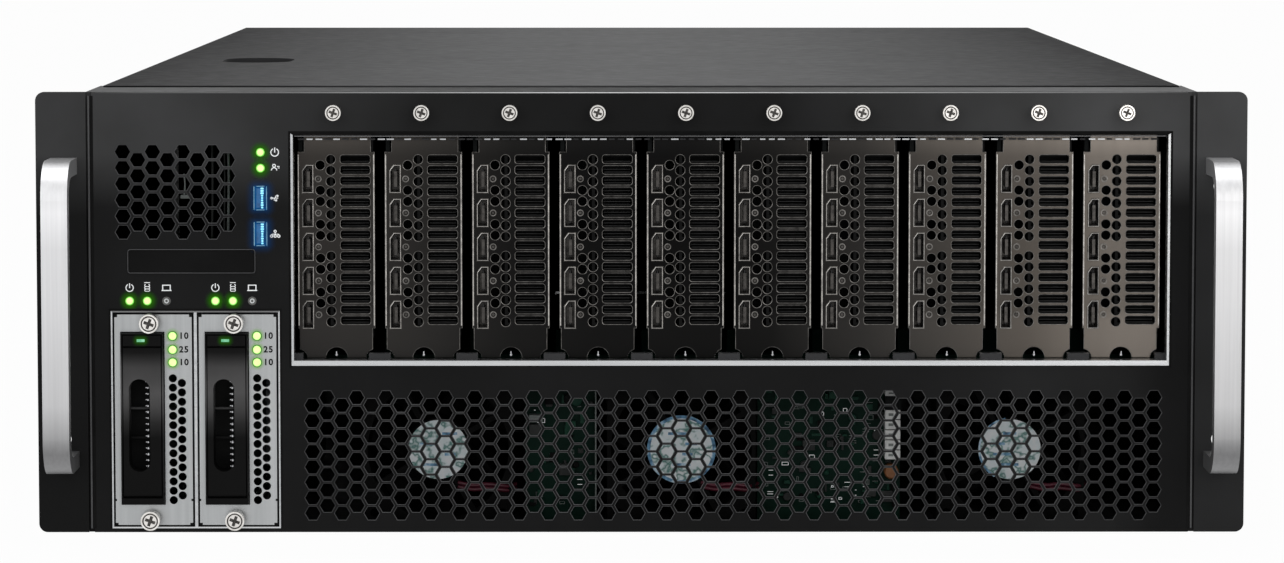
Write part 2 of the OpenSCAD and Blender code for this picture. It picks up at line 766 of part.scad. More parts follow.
// Cooler beside a card's board: a shroud with a fin stack open at the front
module cooler() {
    x0 = board_x + card_board;
    front = bracket_recess + bracket_thick + 0.4;
    difference() {
        union() {
            block([grill_x0 - 4.2, bracket_width / 2 - 0.6], [front, bracket_recess + card_length],
                [card_base + 6, window_top - 2]);
            block([x0, grill_x0 - 4], [front + socket_depth + 5, bracket_recess + card_length],
                [card_base + 6, window_top - 2]);
        }
        for (k = [0 : grill_count - 1])
            block([grill_x0 - 3, grill_x1 + 0.6], [front - shim, front + 12],
                [grill_top - k * grill_pitch - grill_slot + 0.6, grill_top - k * grill_pitch - 0.6]);
    }
}

module gpu_coolers() {
    server() color([0.1, 0.1, 0.11]) for (i = [0 : card_count - 1]) translate([card_x(i), 0, 0]) cooler();
}

module gpu_boards() {
    server() color([0.04, 0.2, 0.1]) for (i = [0 : card_count - 1]) translate([card_x(i) + board_x, 0, 0]) {
        block([0, card_board], [bracket_recess + bracket_thick, bracket_recess + card_length],
            [card_base + 7.4, window_top - 2]);
        block([0, card_board], [base_y0 + 14.5, base_y0 + 101.5], [card_base, card_base + 8]);
    }
}

/* Fans */

// Square frame with a round bore; struts and motor plate at the end named by strut_y
module fan_frame(size, length, strut_y) {
    bore = size / 2 - 1.5;
    difference() {
        plate([0, length]) square([size, size], center = true);
        rod(0, 0, bore, [-shim, length + shim]);
        for (x = [-1, 1], z = [-1, 1])
            rod(x * (size / 2 - 4.2), z * (size / 2 - 4.2), 1.8, [-shim, length + shim]);
    }
    plate([strut_y, strut_y + 2.5]) {
        circle(r = size * hub_share / 2);
        for (a = [0 : 90 : 270]) rotate(a + 30) rect([0, bore + 1], [-1.1, 1.1]);
    }
}

// Blade section: an arc of sheet, leaning with its chord
module blade_section(chord) {
    bend = chord * 1.1;
    rotate(-35) translate([-bend, 0]) intersection() {
        difference() {
            circle(r = bend + 0.7);
            circle(r = bend - 0.7);
        }
        translate([bend / 2, -chord / 2]) square([bend, chord]);
    }
}

module fan_rotor(size, length) {
    hub = size * hub_share / 2;
    tip = size / 2 - 1.5 - tip_gap;
    rotate([-90, 0, 0]) {
        cylinder(r = hub, h = length);
        intersection() {
            cylinder(r = tip, h = length);
            for (k = [0 : 6]) rotate([0, 0, k * 360 / 7]) translate([hub - 1.5, 0, length / 2])
                rotate([90, 0, 90]) linear_extrude(height = tip - hub + 4) blade_section(length * 0.85);
        }
    }
}

module intake_fan_frames() {
    server() color([0.04, 0.04, 0.04]) for (x = intake_centres)
        translate([x, intake_setback, intake_z]) fan_frame(intake_size, intake_length, 0);
}

module intake_fan_rotor(i) {
    server() color([0.06, 0.06, 0.06])
        translate([intake_centres[i], intake_setback + 4, intake_z])
            fan_rotor(intake_size, intake_length - 7);
}

module rear_fan_frames() {
    server() color([0.04, 0.04, 0.04]) for (i = [0 : exhaust_count - 1])
        translate([exhaust_x(i), rear_in - exhaust_length, exhaust_z])
            fan_frame(exhaust_size, exhaust_length, exhaust_length - 2.5);
}

module rear_fan_rotor(i) {
    server() color([0.06, 0.06, 0.06]) translate([exhaust_x(i), rear_in - exhaust_length + 3, exhaust_z])
        fan_rotor(exhaust_size, exhaust_length - 7);
}

/* Boards */

// Boards of the lamps and sockets, and upright boards behind the lower vent with a power connector
module front_boards() {
    power_z = [sheet, deck_top - sheet - 3];
    half = intake_size / 2;
    left_x = [intake_centres[0] + half + 5, intake_centres[1] - half - 5];
    right_x = [intake_centres[1] + half + 1, intake_centres[2] - half - 14];
    server() color([0.04, 0.28, 0.14]) {
        block([status_x - 9, window_x0 - 2], [io_board_y, io_board_y + board_thick],
            [label_base, window_top]);
        block([bay_x0 + 2, bay_x1 - 4], [io_board_y, io_board_y + board_thick], [bay_roof, lamp_height + 8]);
        for (x = [left_x, right_x]) block(x, [power_y, power_y + board_thick], power_z);
        block([right_x[1] - plug_width, right_x[1]], [power_y - plug_depth, power_y],
            [power_z[1] - plug_height, power_z[1]]);
    }
}
board_thick = 1.6;
plug_width = 6.5;
plug_depth = 9;
plug_height = 20;
power_y = intake_setback + 12;
bay_roof = bay_top + 0.2 + sheet;

module motherboard() {
    server() color([0.04, 0.25, 0.12]) {
        block([-wall_in + 8, wall_in - 4], [main_front, main_back], [main_z, port_z]);
        block([port_x0 - 3, wall_in - 4], [main_back - 1, rear_in - 2], [main_z, port_z]);
        for (x = [-wall_in + 30, 0, wall_in - 30], y = [main_front + 10, main_back - 10])
            translate([x, y, sheet]) cylinder(r = 3, h = main_z - sheet + 0.5);
    }
}

// Shells of the ports at the rear
module rear_ports() {
    server() color([0.6, 0.61, 0.62]) for (k = [0 : port_count - 1]) difference() {
        block([port_x(k), port_x(k) + port_width], [rear_in - 18, body_depth + 0.5],
            [port_z, port_z + port_height(k)]);
        block([port_x(k) + 1, port_x(k) + port_width - 1], [rear_in - 12, body_depth + shim],
            [port_z + 1, port_z + port_height(k) - 1]);
    }
}

module cpu_heatsinks() {
    fin_pitch = (sink_width - fin_thick) / (fin_count - 1);
    server() color([0.7, 0.71, 0.72]) for (s = [-1, 1]) translate([s * sink_x, main_middle, port_z]) {
        block([-sink_width / 2, sink_width / 2], [-sink_length / 2, sink_length / 2], [0, sink_base]);
        for (k = [0 : fin_count - 1]) translate([-sink_width / 2 + k * fin_pitch, 0, 0])
            block([0, fin_thick], [-sink_length / 2, sink_length / 2], [0, sink_height]);
    }
}
sink_x = wall_in / 2 - 3;
sink_width = 80;
sink_length = 110;
sink_height = 62;
sink_base = 8;
fin_count = 16;
fin_thick = 1.2;
memory_pitch = 8;
memory_length = 132;
memory_height = 32;
memory_thick = 1.4;

module memory_modules() {
    server() color([0.05, 0.3, 0.15]) for (m = [-1, 1], s = [-1, 1], k = [1 : 4])
        translate([m * sink_x + s * (sink_width / 2 + k * memory_pitch), main_middle, port_z])
            block([-memory_thick / 2, memory_thick / 2], [-memory_length / 2, memory_length / 2],
                [0, memory_height]);
}

/* Cover */

thumb_x = -176;
thumb_y = 318;
thumb_r = 16;
thumb_length = 56;
thumb_depth = 4;

module thumb_outline(r) {
    translate([thumb_x, thumb_y]) {
        square([2 * r, thumb_length - 2 * thumb_r], center = true);
        for (s = [-1, 1]) translate([0, s * (thumb_length / 2 - thumb_r)]) circle(r = r);
    }
}

// Sliding cover: a top with skirts outside the walls and a dished thumb rest
module top_cover() {
    server() color([0.12, 0.12, 0.125]) difference() {
        union() {
            block([-cover_out, cover_out], [top_strip + slide_gap, body_depth],
                [body_height - cover_thick, body_height]);
            for (s = [0, 1]) mirror([s, 0, 0])
                block([wall_out + skirt_gap, cover_out], [top_strip + slide_gap, body_depth],
                    [body_height - cover_skirt, body_height]);
            translate([0, 0, body_height - thumb_depth]) linear_extrude(height = thumb_depth)
                thumb_outline(thumb_r + cover_thick);
        }
        translate([0, 0, body_height - thumb_depth + cover_thick]) linear_extrude(height = thumb_depth)
            thumb_outline(thumb_r);
    }
}
cover_out = body_width / 2 - ear_gap;

/* Drive modules: m is 0 for the left one and 1 for the right one */

// Places a piece drawn from the faceplate's lower left corner
module in_bay(m) {
    server() translate([bay_x(m), 0, face_base]) children();
}

carrier_x0 = carrier_inset;
carrier_x1 = carrier_inset + carrier_width;
carrier_z0 = carrier_foot;
carrier_z1 = carrier_z0 + carrier_height;
lever_z0 = carrier_z0 + lever_base;
lever_z1 = carrier_z1 - frame_side - button_band - slide_gap;
hinge_r = lever_thick / 2;
hinge_y = -carrier_proud + hinge_r;
hinge_z = lever_z0 + hinge_r;

module module_faceplate(m) {
    in_bay(m) color([0.72, 0.73, 0.74]) plate([-face_thick / 2, face_thick / 2]) difference() {
        rect([0, face_width], [0, face_height]);
        rect([carrier_x0 - slide_gap, carrier_x1 + slide_gap],
            [carrier_z0 - slide_gap, carrier_z1 + slide_gap]);
        for (c = [0, 1], k = [0 : face_hole_rows - 1 - c])
            translate([module_lamp_x + c * 3.6, face_hole_base + (k + c / 2) * face_hole_pitch])
                circle(r = face_hole_r);
        for (z = module_lamps) translate([module_lamp_x, z]) circle(r = led_r);
        for (z = module_screw_zs) translate([module_screw_x, z]) circle(r = shank_r + screw_gap);
    }
}

// Tray behind the faceplate, open at the front
module module_sled(m) {
    x0 = 0.5;
    x1 = face_width - 0.5;
    z0 = 0.4;
    z1 = face_height - 0.4;
    in_bay(m) color([0.6, 0.61, 0.62]) difference() {
        block([x0, x1], [face_thick / 2, module_length], [z0, z1]);
        block([x0 + sled_wall, x1 - sled_wall], [-shim, module_length - sled_wall],
            [z0 + sled_wall, z1 - sled_wall]);
        for (z = module_screw_zs) rod(module_screw_x, z, shank_r + 0.3, [-shim, 14]);
    }
}

module module_thumbscrews(m) {
    in_bay(m) color([0.8, 0.79, 0.77]) for (z = module_screw_zs)
        thumbscrew(module_screw_x, z, module_screw_r, module_screw_head, shank_r, -face_thick / 2, 12);
}

module module_leds(m) {
    in_bay(m) color([0.5, 0.9, 0.3]) for (z = module_lamps)
        rod(module_lamp_x, z, led_r, [-face_thick / 2 - 0.3, 4]);
}

// Carrier: a front block with pockets for lever and button, and two rails that hold the drive
module drive_carrier(m) {
    inner_x = [carrier_x0 + frame_side, carrier_x1 - frame_side];
    in_bay(m) color([0.05, 0.05, 0.052]) difference() {
        union() {
            block([carrier_x0, carrier_x1], [-carrier_proud, carrier_block], [carrier_z0, carrier_z1]);
            for (z = [carrier_z0, carrier_z1 - rail_thick])
                block([carrier_x0, carrier_x1], [carrier_block - 0.5, carrier_block + drive_length + 8],
                    [z, z + rail_thick]);
        }
        block(inner_x, [-carrier_proud - shim, -carrier_proud + lever_pocket],
            [lever_z0 - slide_gap, lever_z1 + slide_gap]);
        block(inner_x, [-carrier_proud - shim, carrier_block - 1.2],
            [carrier_z1 - frame_side - button_band, carrier_z1 - frame_side]);
        plate([-carrier_proud - shim, carrier_block + shim])
            tall_slot([carrier_x0 + grip_x0, carrier_x0 + grip_x1],
                [carrier_z0 + grip_z0, carrier_z0 + grip_z1]);
        translate([carrier_x0 - shim, hinge_y, hinge_z]) rotate([0, 90, 0])
            cylinder(r = pin_r + 0.35, h = carrier_width + 2 * shim);
    }
    // bars across the opening, behind the lever
    in_bay(m) color([0.05, 0.05, 0.052]) for (z = grip_bars)
        block([carrier_x0 + grip_x0 - 0.5, carrier_x0 + grip_x1 + 0.5],
            [carrier_block - 2.5, carrier_block], [z, z + 0.8]);
}
rail_thick = 1.5;
pin_r = 0.5;
grip_bars = [carrier_z0 + 0.376 * carrier_height, carrier_z0 + 0.547 * carrier_height];

module drive(m) {
    in_bay(m) color([0.6, 0.6, 0.62]) block([carrier_x0 + 0.8, carrier_x1 - 0.8],
        [carrier_block, carrier_block + drive_length], [carrier_z0 + rail_thick, carrier_z1 - rail_thick]);
}

// Lever with a long grip opening, turning on stub pins at its foot
module carrier_lever(m) {
    x = [carrier_x0 + lever_inset, carrier_x1 - lever_inset];
    in_bay(m) color([0.05, 0.05, 0.052]) difference() {
        union() {
            block(x, [-carrier_proud, -carrier_proud + lever_thick], [hinge_z, lever_z1]);
            translate([x[0], hinge_y, hinge_z]) rotate([0, 90, 0]) cylinder(r = hinge_r, h = x[1] - x[0]);
            translate([x[0] - slide_gap - 0.2, hinge_y, hinge_z]) rotate([0, 90, 0])
                cylinder(r = pin_r, h = x[1] - x[0] + 2 * slide_gap + 0.4);
        }
        plate([-carrier_proud - shim, shim])
            tall_slot([carrier_x0 + grip_x0, carrier_x0 + grip_x1],
                [carrier_z0 + grip_z0, carrier_z0 + grip_z1]);
    }
}

module release_button(m) {
    z0 = carrier_z1 - frame_side - button_band + slide_gap;
    in_bay(m) color([0.05, 0.05, 0.052]) block([carrier_x0 + lever_inset, carrier_x1 - lever_inset],
        [-carrier_proud, carrier_block - 3.6], [z0, z0 + button_height]);
}

/* Power supplies */

latch_y = 3.2;
latch_x = psu_width / 2 - 6;
latch_half = 8;
lug_half = 1.6;
lug_offset = latch_half + lug_half + slide_gap;
inlet_x = [-psu_width / 2 + 2.5, -psu_width / 2 + 26.5];
inlet_half = 13;
inlet_depth = 14;
loop_x = 6;
loop_half = 13;
loop_half_z = 4.5;
loop_thick = 3.5;

// Places a piece drawn around the middle of a power supply's foot, behind the rear panel's face
module in_rear(i) {
    server() translate([psu_x(i), body_depth, psu_base]) children();
}

// Case with an inlet, an air outlet, a handle loop and lugs for the latch
module psu(i) {
    mid = psu_height / 2;
    in_rear(i) color([0.5, 0.51, 0.52]) {
        difference() {
            block([-psu_width / 2, psu_width / 2], [-psu_length, 0], [0, psu_height]);
            block(inlet_x, [-inlet_depth, shim], [mid - inlet_half, mid + inlet_half]);
            // air outlet
            for (a = [0 : 7], b = [0 : 6])
                rod(inlet_x[1] + 4.5 + a * 4.2 + (b % 2) * 2.1, mid + (b - 3) * 4.9, 1.7, [-3, shim]);
        }
        // handle loop between two arms
        translate([loop_x, 0, mid - loop_half_z]) linear_extrude(height = 2 * loop_half_z) difference() {
            loop_outline(psu_reach, loop_half, 6);
            loop_outline(psu_reach - loop_thick, loop_half - loop_thick, 2.5);
        }
        // lugs above and below the latch
        for (s = [-1, 1]) block([latch_x - 3, latch_x + 3], [-0.5, 2 * latch_y - 0.4],
            [mid + s * lug_offset - lug_half, mid + s * lug_offset + lug_half]);
        // contact blades of the inlet
        for (p = [[7, -5], [7, 5], [13, 0]]) block([inlet_x[0] + p[0], inlet_x[0] + p[0] + 2],
            [-inlet_depth - 0.5, -5.5], [mid + p[1] - 2, mid + p[1] + 2]);
    }
}

// Outline of a loop reaching out along Y
module loop_outline(reach, half, bend) {
    rect([-half, half], [-0.5, reach - bend]);
    rect([-half + bend, half - bend], [-0.5, reach]);
    for (s = [-1, 1]) translate([s * (half - bend), reach - bend]) circle(r = bend);
}

// Latch tab that turns between the lugs
module psu_latch(i) {
    mid = psu_height / 2;
    in_rear(i) color([0.1, 0.55, 0.25]) {
        translate([latch_x, latch_y, mid - latch_half]) cylinder(r = 1.8, h = 2 * latch_half);
        block([latch_x - 1, latch_x + 1], [latch_y, psu_reach - 6], [mid - latch_half, mid + latch_half]);
    }
}

chassis_base();
front_panel();
upper_vent_grille();
lower_vent_grille();
rear_panel();
left_ear();
right_ear();
left_handle();
right_handle();
ear_screws();
opening_trims();
gpu_thumbscrews();
label_plate();
status_leds();
usb_sockets();
front_boards();
gpu_deck();
gpu_baseboard();
gpu_brackets();
gpu_coolers();
gpu_boards();
display_sockets();
intake_fan_frames();
rear_fan_frames();
motherboard();
rear_ports();
cpu_heatsinks();
memory_modules();
top_cover();
module_faceplate(0);  // left_module_faceplate
module_sled(0);  // left_module_sled
module_thumbscrews(0);  // left_module_thumbscrews
module_leds(0);  // left_module_leds
drive_carrier(0);  // left_drive_carrier
drive(0);  // left_drive
carrier_lever(0);  // left_carrier_lever
release_button(0);  // left_release_button
module_faceplate(1);  // right_module_faceplate
module_sled(1);  // right_module_sled
module_thumbscrews(1);  // right_module_thumbscrews
module_leds(1);  // right_module_leds
drive_carrier(1);  // right_drive_carrier
drive(1);  // right_drive
carrier_lever(1);  // right_carrier_lever
release_button(1);  // right_release_button
intake_fan_rotor(0);  // intake_fan_rotor_1
intake_fan_rotor(1);  // intake_fan_rotor_2
intake_fan_rotor(2);  // intake_fan_rotor_3
rear_fan_rotor(0);  // rear_fan_rotor_1
rear_fan_rotor(1);  // rear_fan_rotor_2
rear_fan_rotor(2);  // rear_fan_rotor_3
rear_fan_rotor(3);  // rear_fan_rotor_4
psu(0);  // psu_1
psu(1);  // psu_2
psu(2);  // psu_3
psu(3);  // psu_4
psu_latch(0);  // psu_latch_1
psu_latch(1);  // psu_latch_2
psu_latch(2);  // psu_latch_3
psu_latch(3);  // psu_latch_4
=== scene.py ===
import bpy, bmesh, json, random
from math import cos, sin, pi, radians, copysign
from mathutils import Vector, Matrix


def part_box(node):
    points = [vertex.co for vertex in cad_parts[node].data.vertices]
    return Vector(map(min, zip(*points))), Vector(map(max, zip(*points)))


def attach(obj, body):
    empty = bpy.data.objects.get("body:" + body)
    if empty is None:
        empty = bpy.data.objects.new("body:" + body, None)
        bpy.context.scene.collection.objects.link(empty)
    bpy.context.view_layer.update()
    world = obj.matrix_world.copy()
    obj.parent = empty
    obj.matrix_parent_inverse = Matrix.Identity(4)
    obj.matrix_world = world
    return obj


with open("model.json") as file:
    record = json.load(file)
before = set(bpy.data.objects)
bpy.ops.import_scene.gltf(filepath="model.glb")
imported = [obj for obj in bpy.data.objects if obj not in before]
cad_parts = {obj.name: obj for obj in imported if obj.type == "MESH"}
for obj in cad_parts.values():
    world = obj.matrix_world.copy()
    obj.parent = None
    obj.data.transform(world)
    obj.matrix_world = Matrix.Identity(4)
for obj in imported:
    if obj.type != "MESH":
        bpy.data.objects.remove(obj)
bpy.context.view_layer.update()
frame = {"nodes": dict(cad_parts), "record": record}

NODES = frame["nodes"]
SLOT = {s["node"]: s["material_slot"] for s in frame["record"]["subparts"]}
SIDES = ("left", "right")
random.seed(4)

# ---------------------------------------------------------------- places, in metres
MM = 0.001
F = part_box("front_panel")[0].y  # face of the front sheet
PANEL_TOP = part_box("front_panel")[1].z
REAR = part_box("rear_panel")[1].y
TRIM_LO, TRIM_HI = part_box("opening_trims")
BAY_X0, WIN_X1, WIN_TOP = TRIM_LO.x, TRIM_HI.x, TRIM_HI.z
BAY_X1 = BAY_X0 + 67.4 * MM
BAY_TOP = max(v.co.z for v in NODES["opening_trims"].data.vertices if v.co.x < BAY_X0 + 30 * MM)
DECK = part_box("gpu_deck")[1].z
CARD_LO, CARD_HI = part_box("gpu_brackets")
CARDS = 10
CARD_W = 30.9 * MM
CARD_PITCH = (CARD_HI.x - CARD_LO.x - CARD_W) / (CARDS - 1)
CARD_X = [CARD_LO.x + CARD_W / 2 + i * CARD_PITCH for i in range(CARDS)]
BRACKET_Y = CARD_LO.y
WIN_X0 = CARD_X[0] - CARD_PITCH / 2 + 0.1 * MM
WIN_BASE = CARD_LO.z - 2 * MM
# display sockets: the rows' heights, and their place left of the card's middle
SOCKETS = 5
SOCKET_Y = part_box("display_sockets")[0].y
SOCKET_X = 11.3 * MM
S_TOP = WIN_TOP - 18.8 * MM
S_PITCH = ((S_TOP - WIN_BASE) - 19.5 * MM) / (SOCKETS - 1)
IO_X = (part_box("usb_sockets")[0].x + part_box("usb_sockets")[1].x) / 2
LEVER_LO, LEVER_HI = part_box("left_carrier_lever")
# reach of the light and shade painted across the front, to each side of the middle
REACH = 0.22
# how far printed ink and thin cover strips stand off the front sheet
PRINT_Y = (F - 0.06 * MM, F - 0.01 * MM)
STRIP_Y = F - 0.12 * MM
# finishes by name
M = {}


# ---------------------------------------------------------------- materials
def linear(c):
    return tuple((v / 255 / 12.92) if v / 255 <= 0.04045 else ((v / 255 + 0.055) / 1.055) ** 2.4 for v in c)


def rgb(v):
    """A colour from one grey value or from three values."""
    return v if isinstance(v, tuple) else (v, v, v)


def add(t, kind, links=(), values=(), **settings):
    """A new node of the tree: its settings, its inputs' values and the links into its inputs."""
    n = t.nodes.new("ShaderNode" + kind)
    for key, v in settings.items():
        setattr(n, key, v)
    for key, v in dict(values).items():
        n.inputs[key].default_value = v
    for key, v in dict(links).items():
        t.links.new(v, n.inputs[key])
    return n


def empty(data):
    """The node tree of a material or world, cleared."""
    data.use_nodes = True
    data.node_tree.nodes.clear()
    return data.node_tree


def blend(t, fac, a, b, out="OutputMaterial"):
    """Mixes two shaders and hands the result to the tree's output."""
    mix = add(t, "MixShader", {"Fac": fac, 1: a.outputs[0], 2: b.outputs[0]})
    add(t, out, {"Surface": mix.outputs[0]})


class Mat:
    """A procedural finish, kept in M: colour, roughness and bump each from their own noise."""

    def __init__(self, name, metal=0.0, spec=0.5):
        self.m = M[name] = bpy.data.materials.new(name)
        self.m.use_nodes = True
        self.t = self.m.node_tree
        self.b = self.t.nodes["Principled BSDF"]
        self.b.inputs["Metallic"].default_value = metal
        self.b.inputs["Specular IOR Level"].default_value = spec
        self.co = add(self.t, "TexCoord").outputs["Object"]

    def put(self, socket, name="Base Color"):
        self.t.links.new(socket, self.b.inputs[name])
        return self

    def noise(self, scale, stretch=(1, 1, 1), detail=3.0, rough=0.55):
        mp = add(self.t, "Mapping", {"Vector": self.co}, {"Scale": stretch})
        return add(self.t, "TexNoise", {"Vector": mp.outputs["Vector"]},
                   {"Scale": scale, "Detail": detail, "Roughness": rough}).outputs["Fac"]

    def ramp(self, fac, stops):
        r = add(self.t, "ValToRGB", {"Fac": fac})
        e = r.color_ramp.elements
        while len(e) < len(stops):
            e.new(0.5)
        for i, (p, c) in enumerate(stops):
            e[i].position = p
            e[i].color = (*rgb(c), 1)
        return r.outputs["Color"]

    def patches(self, scale, lo, hi, stretch=(1, 1, 1), *noise):
        """Soft patches between two tones."""
        return self.ramp(self.noise(scale, stretch, *noise), [(0.3, lo), (0.7, hi)])

    def across(self, stops, lo=-REACH, hi=REACH, axis="X"):
        """A tone that changes along one axis of the object."""
        sep = add(self.t, "SeparateXYZ", {0: self.co})
        return self.ramp(self.span(sep.outputs[axis], 0.0, 1.0, lo, hi), stops)

    def mix(self, fac, a, b):
        return add(self.t, "Mix", {0: fac, 6: a, 7: b}, data_type="RGBA").outputs[2]

    def times(self, a, b):
        return add(self.t, "VectorMath", {0: a, 1: b}, operation="MULTIPLY").outputs["Vector"]

    def span(self, fac, lo, hi, a=0.3, b=0.7):
        return add(self.t, "MapRange", {"Value": fac},
                   {"From Min": a, "From Max": b, "To Min": lo, "To Max": hi}).outputs["Result"]

    def colour(self, lo, hi, scale=60, stretch=(1, 1, 1)):
        return self.put(self.patches(scale, lo, hi, stretch))

    def rough(self, lo, hi, scale=90, stretch=(1, 1, 1)):
        return self.put(self.span(self.noise(scale, stretch), lo, hi), "Roughness")

    def bump(self, depth, scale, stretch=(1, 1, 1), strength=0.5, detail=2.0):
        n = add(self.t, "Bump", {"Height": self.noise(scale, stretch, detail)},
                {"Strength": strength, "Distance": depth})
        return self.put(n.outputs["Normal"], "Normal")


def powder(name, lo, hi, rough=(0.42, 0.55), spec=0.35):
    Mat(name, spec=spec).colour(lo, hi, 25).rough(*rough, 140).bump(0.00008, 1800, strength=0.35)


def brushed(name, lo, hi, rough=(0.24, 0.36), stretch=(1, 1, 1), depth=0.00003, scale=500):
    (Mat(name, metal=1.0).colour(lo, hi, scale, stretch).rough(*rough, scale * 0.8, stretch)
     .bump(depth, scale * 1.4, stretch, 0.25))


def moulded(name, lo, hi, rough=(0.38, 0.5), spec=0.4):
    Mat(name, spec=spec).colour(lo, hi, 60).rough(*rough, 120).bump(0.00006, 900, strength=0.25)


def lit(name, core, rim, strength, rough=0.3):
    """A glowing finish: its light comes from a faintly mottled core. Lamps use it, and so do the white print
    and the front ports, whose glow is painted light.
    """
    k = Mat(name, spec=0.5)
    k.colour(core, rim, 400).rough(rough, rough + 0.1, 200).bump(0.00003, 700)
    k.put(k.ramp(k.noise(500), [(0.3, core), (0.75, rim)]), "Emission Color")
    k.b.inputs["Emission Strength"].default_value = strength


def glow(name, colour, strength):
    """Painted light spilt on the sheet round a lamp, fading outwards with the mesh's own weight."""
    M[name] = bpy.data.materials.new(name)
    t = empty(M[name])
    em = add(t, "Emission", (), {"Color": (*colour, 1), "Strength": strength})
    no = add(t, "TexNoise", {"Vector": add(t, "TexCoord").outputs["Object"]}, {"Scale": 900})
    uneven = add(t, "Math", {0: no.outputs["Fac"]}, {1: 0.35, 2: 0.82}, operation="MULTIPLY_ADD")
    weight = add(t, "Attribute", attribute_name="glow").outputs["Fac"]
    fac = add(t, "Math", {0: uneven.outputs[0], 1: weight}, operation="MULTIPLY")
    blend(t, fac.outputs[0], add(t, "BsdfTransparent"), em)


def nickel(name):
    """Dark nickel plate with broad random patches and faint upright grain. A painted reflection makes it
    lighter and warmer towards the ends of the row of cards, most on the right, and darkest in the middle; a
    painted highlight lightens its top; it is darker across the middle of its height.
    """
    k = Mat(name, metal=1.0)

    def warm(v):
        w = min(1, v / 0.06)
        return (v, v * (1 - 0.11 * w), v * (1 - 0.21 * w))

    def row(values):
        return k.across([((i + 0.5) / CARDS, warm(v)) for i, v in enumerate(values)], CARD_LO.x, CARD_HI.x)

    # painted reflection, card by card: the tones of the upper part and of the lower part
    high = row((0.082, 0.042, 0.0155, 0.0135, 0.013, 0.017, 0.038, 0.11, 0.155, 0.235))
    low = row((0.03, 0.019, 0.0105, 0.0085, 0.0075, 0.0075, 0.022, 0.04, 0.066, 0.13))
    # painted highlight: from the lower tones to the upper ones near the top
    up = k.across([(0, 0), (0.7, 0.2), (0.82, 0.45), (0.93, 1)], CARD_LO.z, CARD_HI.z, "Z")
    broad = k.patches(14, (0.82, 0.82, 0.83), (1.18, 1.17, 1.15), (1, 1, 0.5), 1.0, 0.4)
    web = k.across([(0.14, 1), (0.2, 0.72), (0.78, 0.72), (0.84, 1)], CARD_LO.z, CARD_HI.z, "Z")
    k.put(k.times(k.times(k.mix(up, low, high), broad), web))
    k.rough(0.3, 0.36, 240, UP).bump(0.000008, 500, UP, 0.2)


def cover_coat(name):
    """Grey powder coat of the cover with a painted reflection: lighter in the middle, darker towards the
    sides, and its sheen fades towards the sides as well.
    """
    k = Mat(name, spec=0.5)
    side, mid = (0.016, 0.016, 0.0165), (0.055, 0.055, 0.056)
    tone = k.across([(0.02, side), (0.35, mid), (0.65, mid), (0.98, side)])
    k.put(k.times(tone, k.patches(25, 0.9, 1.1)))
    k.put(k.across([(0, 0.01), (0.5, 0.08), (1, 0.01)]), "Specular IOR Level")
    k.rough(0.55, 0.65, 140).bump(0.00006, 1500, strength=0.3)


def knurled(name):
    """Turned rim of a thumbscrew: fine ridges along its length."""
    ridges = (1, 0.02, 1)
    (Mat(name, metal=1.0).colour((0.25, 0.24, 0.23), (0.75, 0.73, 0.7), 2600, ridges)
     .rough(0.2, 0.34, 400).bump(0.0002, 2600, ridges, 0.8))


def printed(name, stops, scale):
    """A printed label: soft patches of a few tints."""
    k = Mat(name, spec=0.4)
    k.put(k.ramp(k.noise(scale, (1, 1, 1), 2.0), stops))
    k.rough(0.4, 0.55, 200).bump(0.00002, 400, strength=0.2)


def front_paint(name, high, low, step, spec):
    """Black powder coat with light and shade painted over the front: one row of tones high up, one below,
    blended between two heights; the lighter upper row is painted light from above, and the tones along each
    row are painted reflection of the lamps.
    """
    k = Mat(name, spec=spec)
    up = k.across([(0, 0), (1, 1)], PANEL_TOP * step[0], PANEL_TOP * step[1], "Z")
    tone = k.mix(up, k.across(low), k.across(high))
    k.put(k.times(tone, k.patches(25, 0.86, (1.14, 1.14, 1.16))))
    k.rough(0.5, 0.6, 140).bump(0.00008, 1800, strength=0.35)


def panel_edge_highlight(name):
    """Edge of the front sheet with a painted highlight: bright along its top, brightest towards the middle of
    the front; below the top its edges are a little lighter than the sheet, painted highlight too.
    """
    k = Mat(name, spec=0.6)
    up = k.across([(0, 0), (1, 1)], PANEL_TOP - 1.2 * MM, PANEL_TOP - 0.6 * MM, "Z")
    top = k.across([(0, 0.06), (0.15, 0.16), (0.3, 0.5), (0.43, 0.95), (0.56, 0.9), (0.75, 0.45), (0.9, 0.2),
                    (1, 0.07)])
    k.put(k.mix(up, k.patches(25, (0.04, 0.04, 0.042), (0.07, 0.07, 0.072)), top))
    k.rough(0.3, 0.42, 140).bump(0.00004, 900, strength=0.3)


def drive_plastic(name):
    """Satin black plastic of the carriers with painted light: a soft painted reflection high up that falls to
    black lower down, and a thin band of painted shade along the very top.
    """
    k = Mat(name, spec=0.06)
    tone = k.across([(0.0, 0.004), (0.4, 0.004), (0.5, 0.026), (0.62, 0.085), (0.7, 0.11), (0.8, 0.09),
                     (0.87, 0.075), (0.93, 0.03), (0.97, 0.007), (1, 0.005)], LEVER_LO.z, LEVER_HI.z, "Z")
    k.put(k.times(tone, k.patches(60, (0.88, 0.86, 0.86), (1.1, 1.07, 1.07))))
    k.rough(0.34, 0.46, 120).bump(0.00005, 900, strength=0.2)


